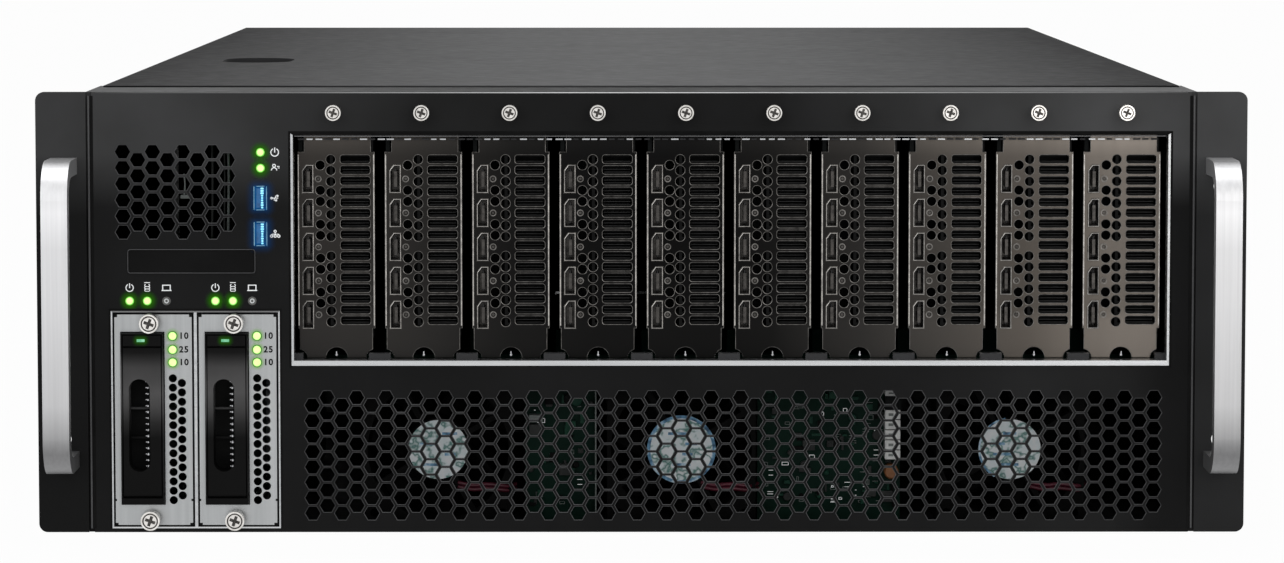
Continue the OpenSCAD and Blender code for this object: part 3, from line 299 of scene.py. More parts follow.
def bright_bar(name):
    """Brushed aluminium of the handles with painted light: a little lighter on the left, lighter high up with
    a painted highlight near the upper bend, and painted shade low down at the lower bend.
    """
    k = Mat(name, metal=1.0)
    grain = (1, 1, 0.012)
    side = k.across([(0, 1.1), (1, 1.06)], -0.23, 0.23)
    tall = k.across([(0.17, 0.36), (0.2, 0.3), (0.25, 0.5), (0.31, 0.7), (0.54, 0.85), (0.66, 0.89),
                     (0.74, 1.08), (0.79, 0.95), (0.85, 0.8)], 0, PANEL_TOP, "Z")
    k.put(k.times(k.times(side, tall), k.patches(900, (0.58, 0.58, 0.59), (0.65, 0.65, 0.66), grain)))
    k.rough(0.4, 0.47, 700, grain).bump(0.000006, 1200, grain, 0.2)


# directions of brushing: upright, across and front to back
UP, ACROSS, BACK = (1, 1, 0.03), (0.03, 1, 1), (1, 0.03, 1)
powder("chassis_steel", (0.012, 0.012, 0.013), (0.02, 0.02, 0.022))
# painted light and shade: the front sheet lighter high up and towards both sides, darkest in the middle and
# low down
front_paint("panel_black",
            [(0, 0.062), (0.12, 0.052), (0.2, 0.031), (0.3, 0.018), (0.5, 0.0095), (0.62, 0.012),
             (0.72, 0.03), (0.85, 0.062), (0.95, 0.078), (1, 0.068)],
            [(0, 0.0128), (0.6, 0.0105), (0.75, 0.012), (0.85, 0.0185), (0.93, 0.019), (0.97, 0.0105),
             (1, 0.009)], (0.74, 0.86), 0.05)
brushed("rear_steel", (0.36, 0.37, 0.38), (0.5, 0.51, 0.52), (0.3, 0.42), ACROSS)
# painted light and shade: the ears lighter high up, and the right ear lighter than the left
front_paint("ear_black", [(0, 0.049), (0.5, 0.054), (1, 0.073)], [(0, 0.0098), (1, 0.0262)],
            (0.72, 0.86), 0.06)
bright_bar("handle_aluminium")
brushed("screw_steel", (0.4, 0.4, 0.42), (0.55, 0.55, 0.57), (0.25, 0.4))
brushed("trim_steel", (0.4, 0.41, 0.42), (0.5, 0.51, 0.52), (0.24, 0.32), ACROSS, depth=0.00001)
brushed("thumbscrew_nickel", (0.6, 0.58, 0.55), (0.85, 0.83, 0.8), (0.14, 0.24), depth=0.00002)
moulded("label_black", 0.005, 0.008, spec=0.05)
brushed("usb_blue", (0.01, 0.055, 0.15), (0.02, 0.11, 0.28), (0.2, 0.35))
moulded("board_green", (0.002, 0.012, 0.008), (0.004, 0.022, 0.014), (0.4, 0.55), 0.06)
brushed("deck_steel", (0.3, 0.3, 0.31), (0.42, 0.42, 0.43), (0.3, 0.45), ACROSS)
nickel("bracket_nickel")
moulded("cooler_black", 0.002, 0.004, spec=0.08)
brushed("socket_steel", (0.04, 0.038, 0.036), (0.08, 0.075, 0.07), (0.22, 0.34))
moulded("fan_black", 0.0012, 0.0025, (0.5, 0.62), 0.05)
brushed("port_steel", (0.5, 0.5, 0.51), (0.68, 0.68, 0.69), (0.2, 0.32))
brushed("heatsink_aluminium", (0.6, 0.6, 0.61), (0.75, 0.75, 0.76), (0.25, 0.4), BACK)
moulded("memory_green", (0.008, 0.05, 0.03), (0.015, 0.09, 0.05), (0.25, 0.4), 0.5)
cover_coat("cover_black")
brushed("faceplate_silver", (0.33, 0.34, 0.345), (0.38, 0.39, 0.395), (0.34, 0.4), UP, depth=0.00001)
brushed("sled_steel", (0.5, 0.51, 0.52), (0.64, 0.65, 0.66), (0.3, 0.42), BACK)
drive_plastic("carrier_black")
brushed("drive_steel", (0.45, 0.45, 0.47), (0.6, 0.6, 0.62), (0.3, 0.4), BACK)
brushed("psu_steel", (0.36, 0.37, 0.38), (0.5, 0.51, 0.52), (0.3, 0.42), BACK)
moulded("latch_green", (0.02, 0.22, 0.08), (0.03, 0.32, 0.12))
lit("lamp_green", (0.12, 0.5, 0.05), (0.25, 0.7, 0.1), 0.6)
# lighter paint for bevelled edges: painted highlights
powder("edge_highlight_paint", (0.05, 0.05, 0.052), (0.085, 0.085, 0.088), (0.3, 0.42), 0.6)
# lighter rims round the grille holes: painted highlights
powder("hex_rim_highlight", (0.04, 0.04, 0.042), (0.095, 0.095, 0.097), (0.3, 0.42), 0.3)
panel_edge_highlight("panel_edge_highlight")
# lighter nickel for the rims round the bracket's openings, a painted highlight; the rings round the socket
# screws use it too
brushed("bracket_edge", (0.07, 0.067, 0.062), (0.2, 0.19, 0.18), (0.26, 0.36))
# a painted highlight for the sills, and painted shade for the upper edge of the module bay and the strip
# under the window's upper edge
brushed("trim_highlight", (0.48, 0.49, 0.5), (0.56, 0.57, 0.58), (0.2, 0.28), ACROSS, depth=0.00001)
brushed("trim_shade", (0.1, 0.1, 0.102), (0.2, 0.2, 0.205), (0.26, 0.36), ACROSS, depth=0.00001)
moulded("board_black", (0.003, 0.004, 0.004), (0.006, 0.007, 0.007), (0.4, 0.55), 0.06)
powder("dish", (0.026, 0.026, 0.027), (0.036, 0.036, 0.037), (0.5, 0.6), 0.1)
moulded("fin_dark", (0.01, 0.01, 0.0105), 0.022, (0.35, 0.5), 0.4)
knurled("knurl")
# dark metal in the thumbscrews' recesses and grooves: painted shade
brushed("groove", (0.02, 0.019, 0.018), (0.09, 0.085, 0.08), (0.3, 0.42), scale=1400)
powder("label_rim", (0.03, 0.03, 0.032), (0.055, 0.055, 0.057), (0.3, 0.42), 0.5)
# white print that glows a little: painted light
lit("ink", linear((222, 224, 225)), linear((242, 243, 243)), 0.3, 0.5)
moulded("dark_ink", (0.07, 0.08, 0.085), (0.12, 0.13, 0.135), (0.5, 0.6))
moulded("lamp_off", (0.05, 0.05, 0.048), (0.11, 0.11, 0.1), (0.2, 0.3), 0.6)
moulded("lamp_ring", (0.012, 0.05, 0.01), (0.03, 0.1, 0.015), (0.4, 0.5))
moulded("dark", 0.0015, 0.003, (0.6, 0.8), 0.1)
lit("green_bar", (0.03, 0.3, 0.12), (0.3, 0.62, 0.42), 0.7)
# the front ports' tongues, insides and rims glow: painted light
lit("usb_light", (0.12, 0.58, 0.9), (0.4, 0.86, 1.0), 0.9)
lit("usb_deep", (0.004, 0.045, 0.13), (0.012, 0.12, 0.3), 0.6)
lit("usb_rim", (0.08, 0.25, 0.38), (0.3, 0.5, 0.62), 0.5)
moulded("sticker_white", (0.6, 0.62, 0.62), (0.78, 0.8, 0.8), (0.5, 0.6))
printed("fan_paper", [(0.3, (0.9, 0.92, 0.94)), (0.46, (0.8, 0.88, 0.9)), (0.54, (0.06, 0.22, 0.19)),
                      (0.62, (0.9, 0.93, 0.95))], 190)
printed("sticker_blue", [(0.35, (0.02, 0.07, 0.14)), (0.5, (0.15, 0.35, 0.55)),
                         (0.62, (0.6, 0.75, 0.85))], 260)
moulded("red_wire", (0.05, 0.004, 0.011), (0.1, 0.008, 0.022), (0.4, 0.5))
moulded("white_plug", (0.7, 0.7, 0.68), (0.85, 0.85, 0.83), (0.4, 0.5))
moulded("brown", (0.16, 0.06, 0.02), (0.3, 0.12, 0.04), (0.4, 0.5))
moulded("grey_part", (0.02, 0.022, 0.022), (0.045, 0.047, 0.045), (0.35, 0.5), 0.12)
moulded("part_green", (0.005, 0.03, 0.02), (0.01, 0.06, 0.035), (0.35, 0.5), 0.12)
moulded("print_dim", (0.12, 0.14, 0.13), (0.25, 0.27, 0.26), (0.5, 0.6))
brushed("copper", (0.45, 0.24, 0.12), (0.62, 0.36, 0.2), (0.25, 0.35))
# painted highlight on the display sockets' outlines and the brackets' folded sides, and painted shade on the
# sockets' fronts
brushed("socket_rim_highlight", (0.26, 0.245, 0.235), (0.5, 0.48, 0.45), (0.22, 0.32))
moulded("socket_shade", 0.006, (0.012, 0.0115, 0.011), (0.35, 0.45), 0.1)
# painted light round the lamps and the front ports
glow("green_glow", (0.05, 0.3, 0.006), 0.5)
glow("lime_glow", (0.32, 0.75, 0.12), 0.7)
glow("blue_glow", (0.012, 0.085, 0.27), 0.6)
lit("lamp_core", (0.56, 0.9, 0.24), (0.74, 0.97, 0.42), 0.85)

for name, obj in NODES.items():
    obj.data.materials.clear()
    obj.data.materials.append(M[SLOT[name]])


def second(name, mat, test):
    """Gives a node's faces a second finish where the test passes, asked with their middle and normal."""
    me = NODES[name].data
    me.materials.append(M[mat])
    for p in me.polygons:
        if test(p.center, p.normal):
            p.material_index = len(me.materials) - 1


def bevel(name, width, angle=40, mat=None, segments=2):
    """Rounds a node's edges by a width in millimetres, with a finish of their own if one is given."""
    o = NODES[name]
    b = o.modifiers.new("edge", "BEVEL")
    b.width = width * MM
    b.segments = segments
    b.limit_method = "ANGLE"
    b.angle_limit = radians(angle)
    b.use_clamp_overlap = True
    if mat is not None:
        o.data.materials.append(M[mat])
        b.material = len(o.data.materials) - 1


# ---------------------------------------------------------------- building pieces
def place(name, data):
    """Puts a mesh, text, camera or lamp into the scene."""
    o = bpy.data.objects.new(name, data)
    bpy.context.scene.collection.objects.link(o)
    return o


class Piece:
    """Collects shapes into one mesh; each shape has its own finish."""

    def __init__(self, name, slot, body="chassis"):
        self.name, self.slot, self.body = name, slot, body
        self.bm = bmesh.new()
        self.mats = []

    def mi(self, mat):
        if mat not in self.mats:
            self.mats.append(mat)
        return self.mats.index(mat)

    def face(self, corners, k, smooth=False):
        f = self.bm.faces.new(corners)
        f.material_index = k
        f.smooth = smooth

    def skin(self, rows, k, smooth=False, closed=True):
        """Faces between neighbouring rows of corners, each row a ring or an open line."""
        n = len(rows[0])
        for a, b in zip(rows, rows[1:]):
            for i in range(n if closed else n - 1):
                self.face((a[i], a[(i + 1) % n], b[(i + 1) % n], b[i]), k, smooth)

    def box(self, lo, hi, mat, chamfer=0.0):
        """A block between two corners, its edges rounded by a chamfer in millimetres."""
        k = self.mi(mat)
        lo, hi = Vector(lo), Vector(hi)
        r = bmesh.ops.create_cube(self.bm, size=1, matrix=Matrix.LocRotScale((lo + hi) / 2, None, hi - lo))
        edges = list(dict.fromkeys(e for v in r["verts"] for e in v.link_edges))
        for f in {f for v in r["verts"] for f in v.link_faces}:
            f.material_index = k
        if chamfer:
            res = bmesh.ops.bevel(self.bm, geom=edges, offset=chamfer * MM, segments=2, profile=0.6,
                                  affect="EDGES", clamp_overlap=True)
            for f in res["faces"]:
                f.material_index = k

    def block(self, p, across, back, up, mat, chamfer):
        """A block whose reach across, back and up is given from the place p, in millimetres."""
        lo, hi = zip(*[(a + x * MM, a + y * MM) for a, (x, y) in zip(p, (across, back, up))])
        self.box(lo, hi, mat, chamfer)

    def rod(self, p, r, length, mat, axis="y", r2=None, seg=24, chamfer=0.0):
        """A turned shape from p along the axis, as a loft of rings so that its rim is rounded."""
        k = self.mi(mat)
        r2 = r if r2 is None else r2
        c = min(chamfer * MM, r * 0.45, length * 0.45)
        rings = [(0, r - c), (c, r), (length - c, r2), (length, r2 - c)] if c else [(0, r), (length, r2)]
        rows = []
        for d, rr in rings:
            row = []
            for i in range(seg):
                a = 2 * pi * i / seg
                u, v = rr * cos(a), rr * sin(a)
                q = (u, d, v) if axis == "y" else (d, u, v)
                row.append(self.bm.verts.new(Vector(p) + Vector(q)))
            rows.append(row)
        self.skin(rows, k, True)
        for row in (rows[0], rows[-1]):
            self.face(row, k)

    def band(self, c, r0, r1, mat, y0, y1, a0=0.0, a1=360.0, seg=24):
        """Flat ring or arc in the X-Z plane round c, between two depths."""
        k = self.mi(mat)
        full = abs(a1 - a0) >= 359.9
        rows = []
        for r, y in ((r0, y0), (r1, y0), (r1, y1), (r0, y1)):
            turns = [radians(a0 + (a1 - a0) * i / seg) for i in range(seg if full else seg + 1)]
            rows.append([self.bm.verts.new((c[0] + r * cos(a), y, c[1] + r * sin(a)))
                         for a in turns])
        self.skin(rows + rows[:1], k, closed=full)
        if not full:
            for i in (0, -1):
                self.face([row[i] for row in rows], k)

    def halo(self, c, y, r0, r1, mat, sx=0.0, sz=0.0, peak=1.0, seg=28, steps=5):
        """Disc or round-cornered patch whose glow weight falls from peak to nothing."""
        k = self.mi(mat)
        lay = self.bm.verts.layers.float.get("glow") or self.bm.verts.layers.float.new("glow")
        rows = []
        for j in range(steps + 1):
            f = j / steps
            r = r0 + (r1 - r0) * f
            row = []
            for i in range(seg):
                a = 2 * pi * i / seg
                cx, cz = cos(a), sin(a)
                v = self.bm.verts.new((c[0] + cx * r + copysign(sx, cx) * (abs(cx) > 0.01),
                                       y, c[1] + cz * r + copysign(sz, cz) * (abs(cz) > 0.01)))
                v[lay] = peak * (1 - f) ** 1.7
                row.append(v)
            rows.append(row)
        self.skin(rows, k)

    def tube(self, pts, r, mat, seg=8):
        """A wire along a smooth path."""
        k = self.mi(mat)
        p = [Vector(q) for q in pts]
        path = []
        for i in range(len(p) - 1):
            a, b, c, d = p[max(i - 1, 0)], p[i], p[i + 1], p[min(i + 2, len(p) - 1)]
            for s in range(6):
                t = s / 6
                path.append(0.5 * ((2 * b) + (c - a) * t + (2 * a - 5 * b + 4 * c - d) * t * t
                                   + (3 * b - a - 3 * c + d) * t ** 3))
        path.append(p[-1])
        rows = []
        turns = [2 * pi * j / seg for j in range(seg)]
        for i, q in enumerate(path):
            d = (path[min(i + 1, len(path) - 1)] - path[max(i - 1, 0)]).normalized()
            s = d.cross(Vector((0, 0, 1)) if abs(d.z) < 0.9 else Vector((1, 0, 0))).normalized()
            u = s.cross(d)
            rows.append([self.bm.verts.new(q + (s * cos(a) + u * sin(a)) * r) for a in turns])
        self.skin(rows, k, True)
        for row in (rows[0], rows[-1]):
            self.face(row, k)

    def done(self):
        """Puts the piece into the scene; it rides on its body."""
        bmesh.ops.recalc_face_normals(self.bm, faces=self.bm.faces)
        me = bpy.data.meshes.new(self.name)
        self.bm.to_mesh(me)
        self.bm.free()
        for mat in self.mats:
            me.materials.append(M[mat])
        o = place(self.name, me)
        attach(o, self.body)


def lettering(name, text, x, z, y, height, mat, body):
    """Generic numerals printed on a sheet."""
    cu = bpy.data.curves.new(name, "FONT")
    cu.body = text
    cu.size = height * 1.38
    cu.extrude = 0.00003
    cu.offset = 0.00011
    cu.space_character = 1.18
    cu.align_y = "CENTER"
    o = place(name + "_text", cu)
    dg = bpy.context.evaluated_depsgraph_get()
    me = bpy.data.meshes.new_from_object(o.evaluated_get(dg))
    bpy.data.objects.remove(o)
    me.transform(Matrix.Translation((x, y, z)) @ Matrix.Rotation(radians(90), 4, "X"))
    me.materials.clear()
    me.materials.append(M[mat])
    p = place(name, me)
    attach(p, body)


# ---------------------------------------------------------------- edges and second finishes
# bevelled edges; the bevels of the front sheet, the cover and the ears carry lighter finishes, painted
# highlights
EDGES = {"front_panel": (0.35, 30, "panel_edge_highlight"), "top_cover": (0.5, 40, "edge_highlight_paint"), "rear_panel": (0.3,),
         "opening_trims": (0.15,), "gpu_thumbscrews": (0.25,)}
for side in SIDES:
    EDGES.update({side + "_ear": (0.4, 30, "edge_highlight_paint"), side + "_handle": (0.7, 60, None, 3),
                  side + "_module_faceplate": (0.2,), side + "_drive_carrier": (0.3,),
                  side + "_carrier_lever": (0.3,), side + "_release_button": (0.4,),
                  side + "_module_thumbscrews": (0.25,)})
for i in range(1, 5):
    EDGES.update({"psu_%d" % i: (0.4,), "psu_latch_%d" % i: (0.5,)})
for name, values in EDGES.items():
    bevel(name, *values)

# bracket-foot clips are dark with a bright upper edge
second("opening_trims", "chassis_steel",
       lambda c, n: c.y > F + 4 * MM and c.z < WIN_BASE + 4.6 * MM and abs(n.y) > 0.9
       and WIN_X0 + 1 * MM < c.x < WIN_X1 - 1 * MM)
# painted shade darkens the window's upper edge, a painted highlight brightens the sills, and painted shade
# darkens the modules' upper edge
second("opening_trims", "dark", lambda c, n: c.z > WIN_TOP - 1.0 * MM and c.x > WIN_X0 + 2 * MM)
second("opening_trims", "trim_highlight", lambda c, n: c.y < F + 3 * MM and n.y < -0.5
       and ((c.x > WIN_X0 + 2 * MM and c.z < WIN_BASE + 2.2 * MM)
            or (c.x < WIN_X0 - 8 * MM and c.z < 3.2 * MM)))
second("opening_trims", "trim_shade", lambda c, n: c.y < F + 3 * MM and n.y < -0.5
       and c.x < WIN_X0 - 8 * MM and c.z > BAY_TOP - 1.0 * MM)
# the graphics cards' own boards are black
NODES["gpu_boards"].data.materials[0] = M["board_black"]
# thumbscrews: knurled sides, and painted shade in the recess
for name in ("gpu_thumbscrews", "left_module_thumbscrews", "right_module_thumbscrews"):
    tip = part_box(name)[0].y
    second(name, "knurl", lambda c, n: abs(n.y) < 0.5 and tip + 0.4 * MM < c.y < tip + 6 * MM)
    second(name, "groove", lambda c, n: (tip + 0.9 * MM < c.y < tip + 1.4 * MM and n.y < -0.9)
           or (abs(n.y) < 0.5 and c.y < tip + 0.85 * MM))
# painted shade darkens the drives' fronts behind the grips, and the board behind the power plug is black
for side in SIDES:
    second(side + "_drive", "dark", lambda c, n: n.y < -0.9)
PLUG_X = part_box("front_boards")[1].x
second("front_boards", "board_black", lambda c, n: c.x > PLUG_X - 7 * MM and c.y < F + 29.9 * MM)
# the thumb rest in the cover
COV_LO, COV_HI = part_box("top_cover")
second("top_cover", "dish", lambda c, n: 0.3 * MM < COV_HI.z - c.z < 4.5 * MM and -0.2 < c.x < -0.14
       and c.y > F + 0.25)
# the third lamp of each row is off
LAMP_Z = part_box("status_leds")[0].z + 1.7 * MM
MODULE_PITCH = 34.2
LAMP_X = [BAY_X0 + (o + m * MODULE_PITCH) * MM for m in (0, 1) for o in (7.6, 14.6, 22.3)]
LAMPS_ON, LAMPS_OFF = (0, 1, 3, 4), (2, 5)
second("status_leds", "lamp_off", lambda c, n: any(abs(c.x - LAMP_X[k]) < 2.2 * MM for k in LAMPS_OFF))
# painted shade darkens the fronts of the display sockets, and the inside of the front ports glows: painted
# light
second("display_sockets", "socket_shade", lambda c, n: n.y < -0.9 and c.y < SOCKET_Y + 0.4 * MM)
second("usb_sockets", "usb_deep", lambda c, n: abs(c.x - IO_X) < 2.25 * MM and c.y > F + 0.4 * MM)


# ---------------------------------------------------------------- turned faces of the thumbscrews
def turned_face(name, node, r, body="chassis"):
    """Raised rim, groove and a flat middle on each thumbscrew head; the groove and the middle are painted
    dark, painted shade.
    """
    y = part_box(node)[0].y
    k = Piece(name, SLOT[node], body)
    for x, z in centres(node):
        for r0, r1, mat, out in ((0.83, 0.97, "thumbscrew_nickel", 0.14), (0.68, 0.84, "groove", 0.05)):
            k.band((x, z), r * r0, r * r1, mat, y - out * MM, y + 0.05 * MM, seg=32)
        k.rod((x, y + 0.3 * MM, z), r * 0.6, 0.4 * MM, "groove", seg=24, chamfer=0.05)
    k.done()


def centres(node):
    """Middle of each of a node's loose heads, from its own corners."""
    src = bmesh.new()
    src.from_mesh(NODES[node].data)
    bmesh.ops.remove_doubles(src, verts=src.verts, dist=1e-6)
    left, found = set(src.verts), []
    while left:
        todo, seen = [left.pop()], []
        while todo:
            v = todo.pop()
            seen.append(v.co.copy())
            for e in v.link_edges:
                w = e.other_vert(v)
                if w in left:
                    left.discard(w)
                    todo.append(w)
        found.append([(min(v) + max(v)) / 2 for v in ([c.x for c in seen], [c.z for c in seen])])
    src.free()
    return sorted(found)


turned_face("card_screw_faces", "gpu_thumbscrews", 3.1 * MM)
for side in SIDES:
    turned_face(side + "_module_screw_faces", side + "_module_thumbscrews", 3.8 * MM, side + "_module")


# ---------------------------------------------------------------- rolled rims round the openings, their lighter finishes painted highlights
def rims(name, node, mat, y, w, d, keep=None):
    """A fine rim along every edge of a node's sheet at the depth y, sloping into the opening."""
    src = bmesh.new()
    src.from_mesh(NODES[node].data)
    bmesh.ops.remove_doubles(src, verts=src.verts, dist=1e-6)
    at, runs = {}, []
    for e in src.edges:
        if len(e.link_faces) != 2 or max(abs(v.co.y - y) for v in e.verts) > 0.00001:
            continue
        f, g = sorted(e.link_faces, key=lambda q: q.normal.y)
        if f.normal.y > -0.9 or abs(g.normal.y) > 0.2:
            continue
        n = Vector((g.normal.x, 0, g.normal.z)).normalized()
        if keep and not keep((e.verts[0].co + e.verts[1].co) / 2, n):
            continue
        runs.append((e.verts[0], e.verts[1]))
        for v in e.verts:
            at.setdefault(v, []).append(n)
    k = Piece(name, SLOT[node])
    mi = k.mi(mat)
    rows = {}
    for v, ns in at.items():
        m = sum(ns, Vector()) / len(ns)
        m = m / max(m.length_squared, 0.35)
        rows[v] = [k.bm.verts.new(v.co + m * a * MM + Vector((0, b * MM, 0)))
                   for a, b in ((-w, 0.01), (-w * 0.85, -d), (0.02, -0.02), (0.02, 0.3))]
    for a, b in runs:
        for j in range(3):
            k.face((rows[a][j], rows[b][j], rows[b][j + 1], rows[a][j + 1]), mi)
    src.free()
    k.done()


# the grille rims' lighter finish is a painted highlight; their slope is real and the lamps light it
for row in ("lower", "upper"):
    g_lo, g_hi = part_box(row + "_vent_grille")
    rims(row + "_grille_rims", row + "_vent_grille", "hex_rim_highlight", g_lo.y, 0.22, 0.12,
         lambda c, n: min(c.x - g_lo.x, g_hi.x - c.x, c.z - g_lo.z, g_hi.z - c.z) > 0.1 * MM)
# the bracket rims' lighter nickel is a painted highlight
rims("bracket_rims", "gpu_brackets", "bracket_edge", BRACKET_Y, 0.18, 0.08)


def outer(c, n):
    """True on the outline of a display socket, false round its opening."""
    x = min(CARD_X, key=lambda x: abs(x - SOCKET_X - c.x)) - SOCKET_X
    z = S_TOP - round((S_TOP - c.z) / S_PITCH) * S_PITCH
    return (c.x - x) * n.x + (c.z - z) * n.z > 0


# the socket rims' lighter finish is a painted highlight
rims("socket_rims", "display_sockets", "socket_rim_highlight", SOCKET_Y, 0.2, 0.08, outer)


# ---------------------------------------------------------------- lamps and their light
LAMP_Y, LAMP_R = F - 0.02 * MM, 1.7 * MM


def lamp(name, x, z, spread):
    """A round lamp on the front sheet, with its light painted on the sheet round it."""
    k = Piece(name, "lamp_green")
    k.halo((x, z), LAMP_Y - 0.06 * MM, LAMP_R * 0.9, spread * MM, "green_glow", peak=0.95)
    k.rod((x, LAMP_Y - 0.42 * MM, z), LAMP_R * 0.78, 0.2 * MM, "lamp_core", seg=20, chamfer=0.3)
    k.done()


for n, k in enumerate(LAMPS_ON):
    lamp("row_lamp_%d" % (n + 1), LAMP_X[k], LAMP_Z, 4.6)
for n, k in enumerate(LAMPS_OFF):
    p = Piece("unlit_lamp_%d" % (n + 1), "lamp_green")
    p.band((LAMP_X[k], LAMP_Z), 0.5 * MM, 1.0 * MM, "sticker_white", F - 0.34 * MM, F - 0.3 * MM, seg=14)
    p.rod((LAMP_X[k], F - 0.36 * MM, LAMP_Z), 0.4 * MM, 0.1 * MM, "lamp_off", seg=12, chamfer=0.1)
    p.done()
# the column of status lamps and ports: its foot, its height and the places in it
IO_BASE = LAMP_Z + 11.2 * MM
IO_SPAN = WIN_TOP - IO_BASE
STATUS_Z = [IO_BASE + f * IO_SPAN for f in (0.752, 0.865)]
PORT_Z = [IO_BASE + f * IO_SPAN for f in (0.28, 0.537)]
for n, z in enumerate(STATUS_Z):
    lamp("status_lamp_%d" % (n + 1), IO_X, z, 4.8)
for side in SIDES:
    lo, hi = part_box(side + "_module_faceplate")
    y = lo.y
    for n, (dz, text) in enumerate(((8.6, "10"), (14.1, "25"), (19.2, "10"))):
        x, z = hi.x - 7.7 * MM, hi.z - dz * MM
        # each lamp's light is painted on the faceplate round it
        k = Piece("%s_module_lamp_%d" % (side, n + 1), "lamp_green", side + "_module")
        k.halo((x, z), y - 0.05 * MM, 1.5 * MM, 3.5 * MM, "lime_glow", peak=0.75)
        k.band((x, z), 1.62 * MM, 1.95 * MM, "lamp_ring", y - 0.1 * MM, y - 0.02 * MM)
        k.rod((x, y - 0.45 * MM, z), 1.5 * MM, 0.3 * MM, "lamp_core", seg=20, chamfer=0.3)
        k.done()
        lettering("%s_module_mark_%d" % (side, n + 1), text, hi.x - 5.1 * MM, z, y - 0.08 * MM, 2.5 * MM,
                  "dark", side + "_module")
    lo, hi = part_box(side + "_release_button")
    x, y, z = (lo.x + hi.x) / 2 - 0.4 * MM, lo.y, (lo.z + hi.z) / 2 + 0.1 * MM
    # a lit bar on each release button, its light painted on the button round it
    k = Piece(side + "_button_bar", "lamp_green", side + "_button")
    k.block((x, y, z), (-1.6, 1.6), (-0.12, 0.1), (-0.55, 0.55), "green_bar", 0.1)
    k.halo((x, z), y - 0.05 * MM, 0.4 * MM, 2.4 * MM, "green_glow", 1.2 * MM, 0.2 * MM, 0.6)
    k.done()

# the front ports' tongues and the rims round them glow: painted light, with a painted glow spreading round
# each port
PORT_HALF = 0.176 * IO_SPAN / 2
for n, z in enumerate(PORT_Z):
    h = PORT_HALF
    k = Piece("front_port_light_%d" % (n + 1), "usb_blue")
    k.box((IO_X - 1.9 * MM, F + 0.75 * MM, z - h + 0.9 * MM),
          (IO_X - 0.4 * MM, F + 1.6 * MM, z + h - 0.9 * MM), "usb_deep", 0.15)
    x = IO_X + 0.55 * MM
    for j in range(9):
        zz = z + (j / 8 - 0.5) * (2 * h - 2.2 * MM)
        w = 0.35 + 0.3 * random.random()
        k.block((x, F, zz), (-w, w), (0.2, 0.6), (-0.34, 0.34), "usb_light", 0.1)
    k.halo((IO_X, z), F - 0.38 * MM, 0.5 * MM, 4.6 * MM, "blue_glow", 1.8 * MM, h - 1.2 * MM, 0.6)
    h -= 0.25 * MM
    low = z - 1.03 * h
    for x0, x1, z0, z1 in ((-2.75, -2.5, z - h, z + h), (2.3, 2.5, z - h, z + h),
                           (-1.8, 1.5, low, low + 0.22 * MM), (-1.6, 1.5, z + h, z + h + 0.22 * MM)):
        k.box((IO_X + x0 * MM, F - 0.45 * MM, z0), (IO_X + x1 * MM, F - 0.39 * MM, z1), "usb_rim", 0.03)
    k.done()


# ---------------------------------------------------------------- printed signs
def ring(x, z, r, a0=0, a1=360, w=0.42, seg=18):
    return x, z, r, a0, a1, w, seg


# each sign in millimetres: bars by two corners, and rings or arcs
SIGNS = {
    "power": [ring(0, 0, 1.75, 118, 422), (-0.22, -0.1, 0.22, 1.9)],
    "stack": [(-1.2, 2.0, 1.2, 2.35)] + [
        shape for z in (1.0, 0.0, -1.0)
        for shape in (ring(-0.6, z, 0.62, 90, 270, 0.34, 8), ring(0.6, z, 0.62, -90, 90, 0.34, 8),
                      (-0.6, z - 0.62, 0.6, z - 0.3))],
    "screen": [(-1.8, 0.9, 1.8, 1.3), (-1.8, -1.0, -1.35, 1.0), (1.35, -1.0, 1.8, 1.0),
               (-2.1, -1.35, 2.1, -0.9)],
    "person": [ring(-0.3, 1.0, 0.8), ring(-0.3, -1.0, 1.35, 0, 180), (0.9, 0.5, 2.0, 0.85),
               (1.25, -0.1, 2.0, 0.2)],
    "trident": [(-1.6, -0.2, 1.5, 0.2), ring(-1.5, 0.0, 0.6), ring(1.1, 1.0, 0.5), ring(0.5, -1.0, 0.5),
                (0.1, 0.1, 0.45, 1.1), (-0.5, -1.1, -0.15, 0.0)],
    "tree": [ring(0, 1.1, 0.65), ring(-1.5, -0.9, 0.7), ring(0.0, -0.9, 0.7), ring(1.5, -0.9, 0.7),
             (-0.18, -0.4, 0.18, 0.5), (-1.5, -0.25, 1.5, 0.05)],
}


def sign(name, kind, x, z, size):
    # the signs are printed in white ink, which glows a little: painted light
    k = Piece(name, "panel_black")
    s = size * MM
    for shape in SIGNS[kind]:
        if len(shape) == 4:
            x0, z0, x1, z1 = shape
            k.box((x + x0 * s, PRINT_Y[0], z + z0 * s), (x + x1 * s, PRINT_Y[1], z + z1 * s), "ink", 0.02)
        else:
            cx, cz, r, a0, a1, w, seg = shape
            k.band((x + cx * s, z + cz * s), (r - w) * s, r * s, "ink", *PRINT_Y, a0, a1, seg)
    k.done()


for m in (0, 1):
    for j, kind in enumerate(("power", "stack", "screen")):
        sign("sign_%s_%d" % (kind, m + 1), kind, LAMP_X[3 * m + j], LAMP_Z + 5.25 * MM, 0.95)
for name, kind, z, size in (("power", "power", STATUS_Z[1], 1.0), ("person", "person", STATUS_Z[0], 0.95),
                            ("port_1", "trident", PORT_Z[1], 0.9), ("port_2", "tree", PORT_Z[0], 0.95)):
    sign("sign_io_" + name, kind, IO_X + 5.7 * MM, z, size)

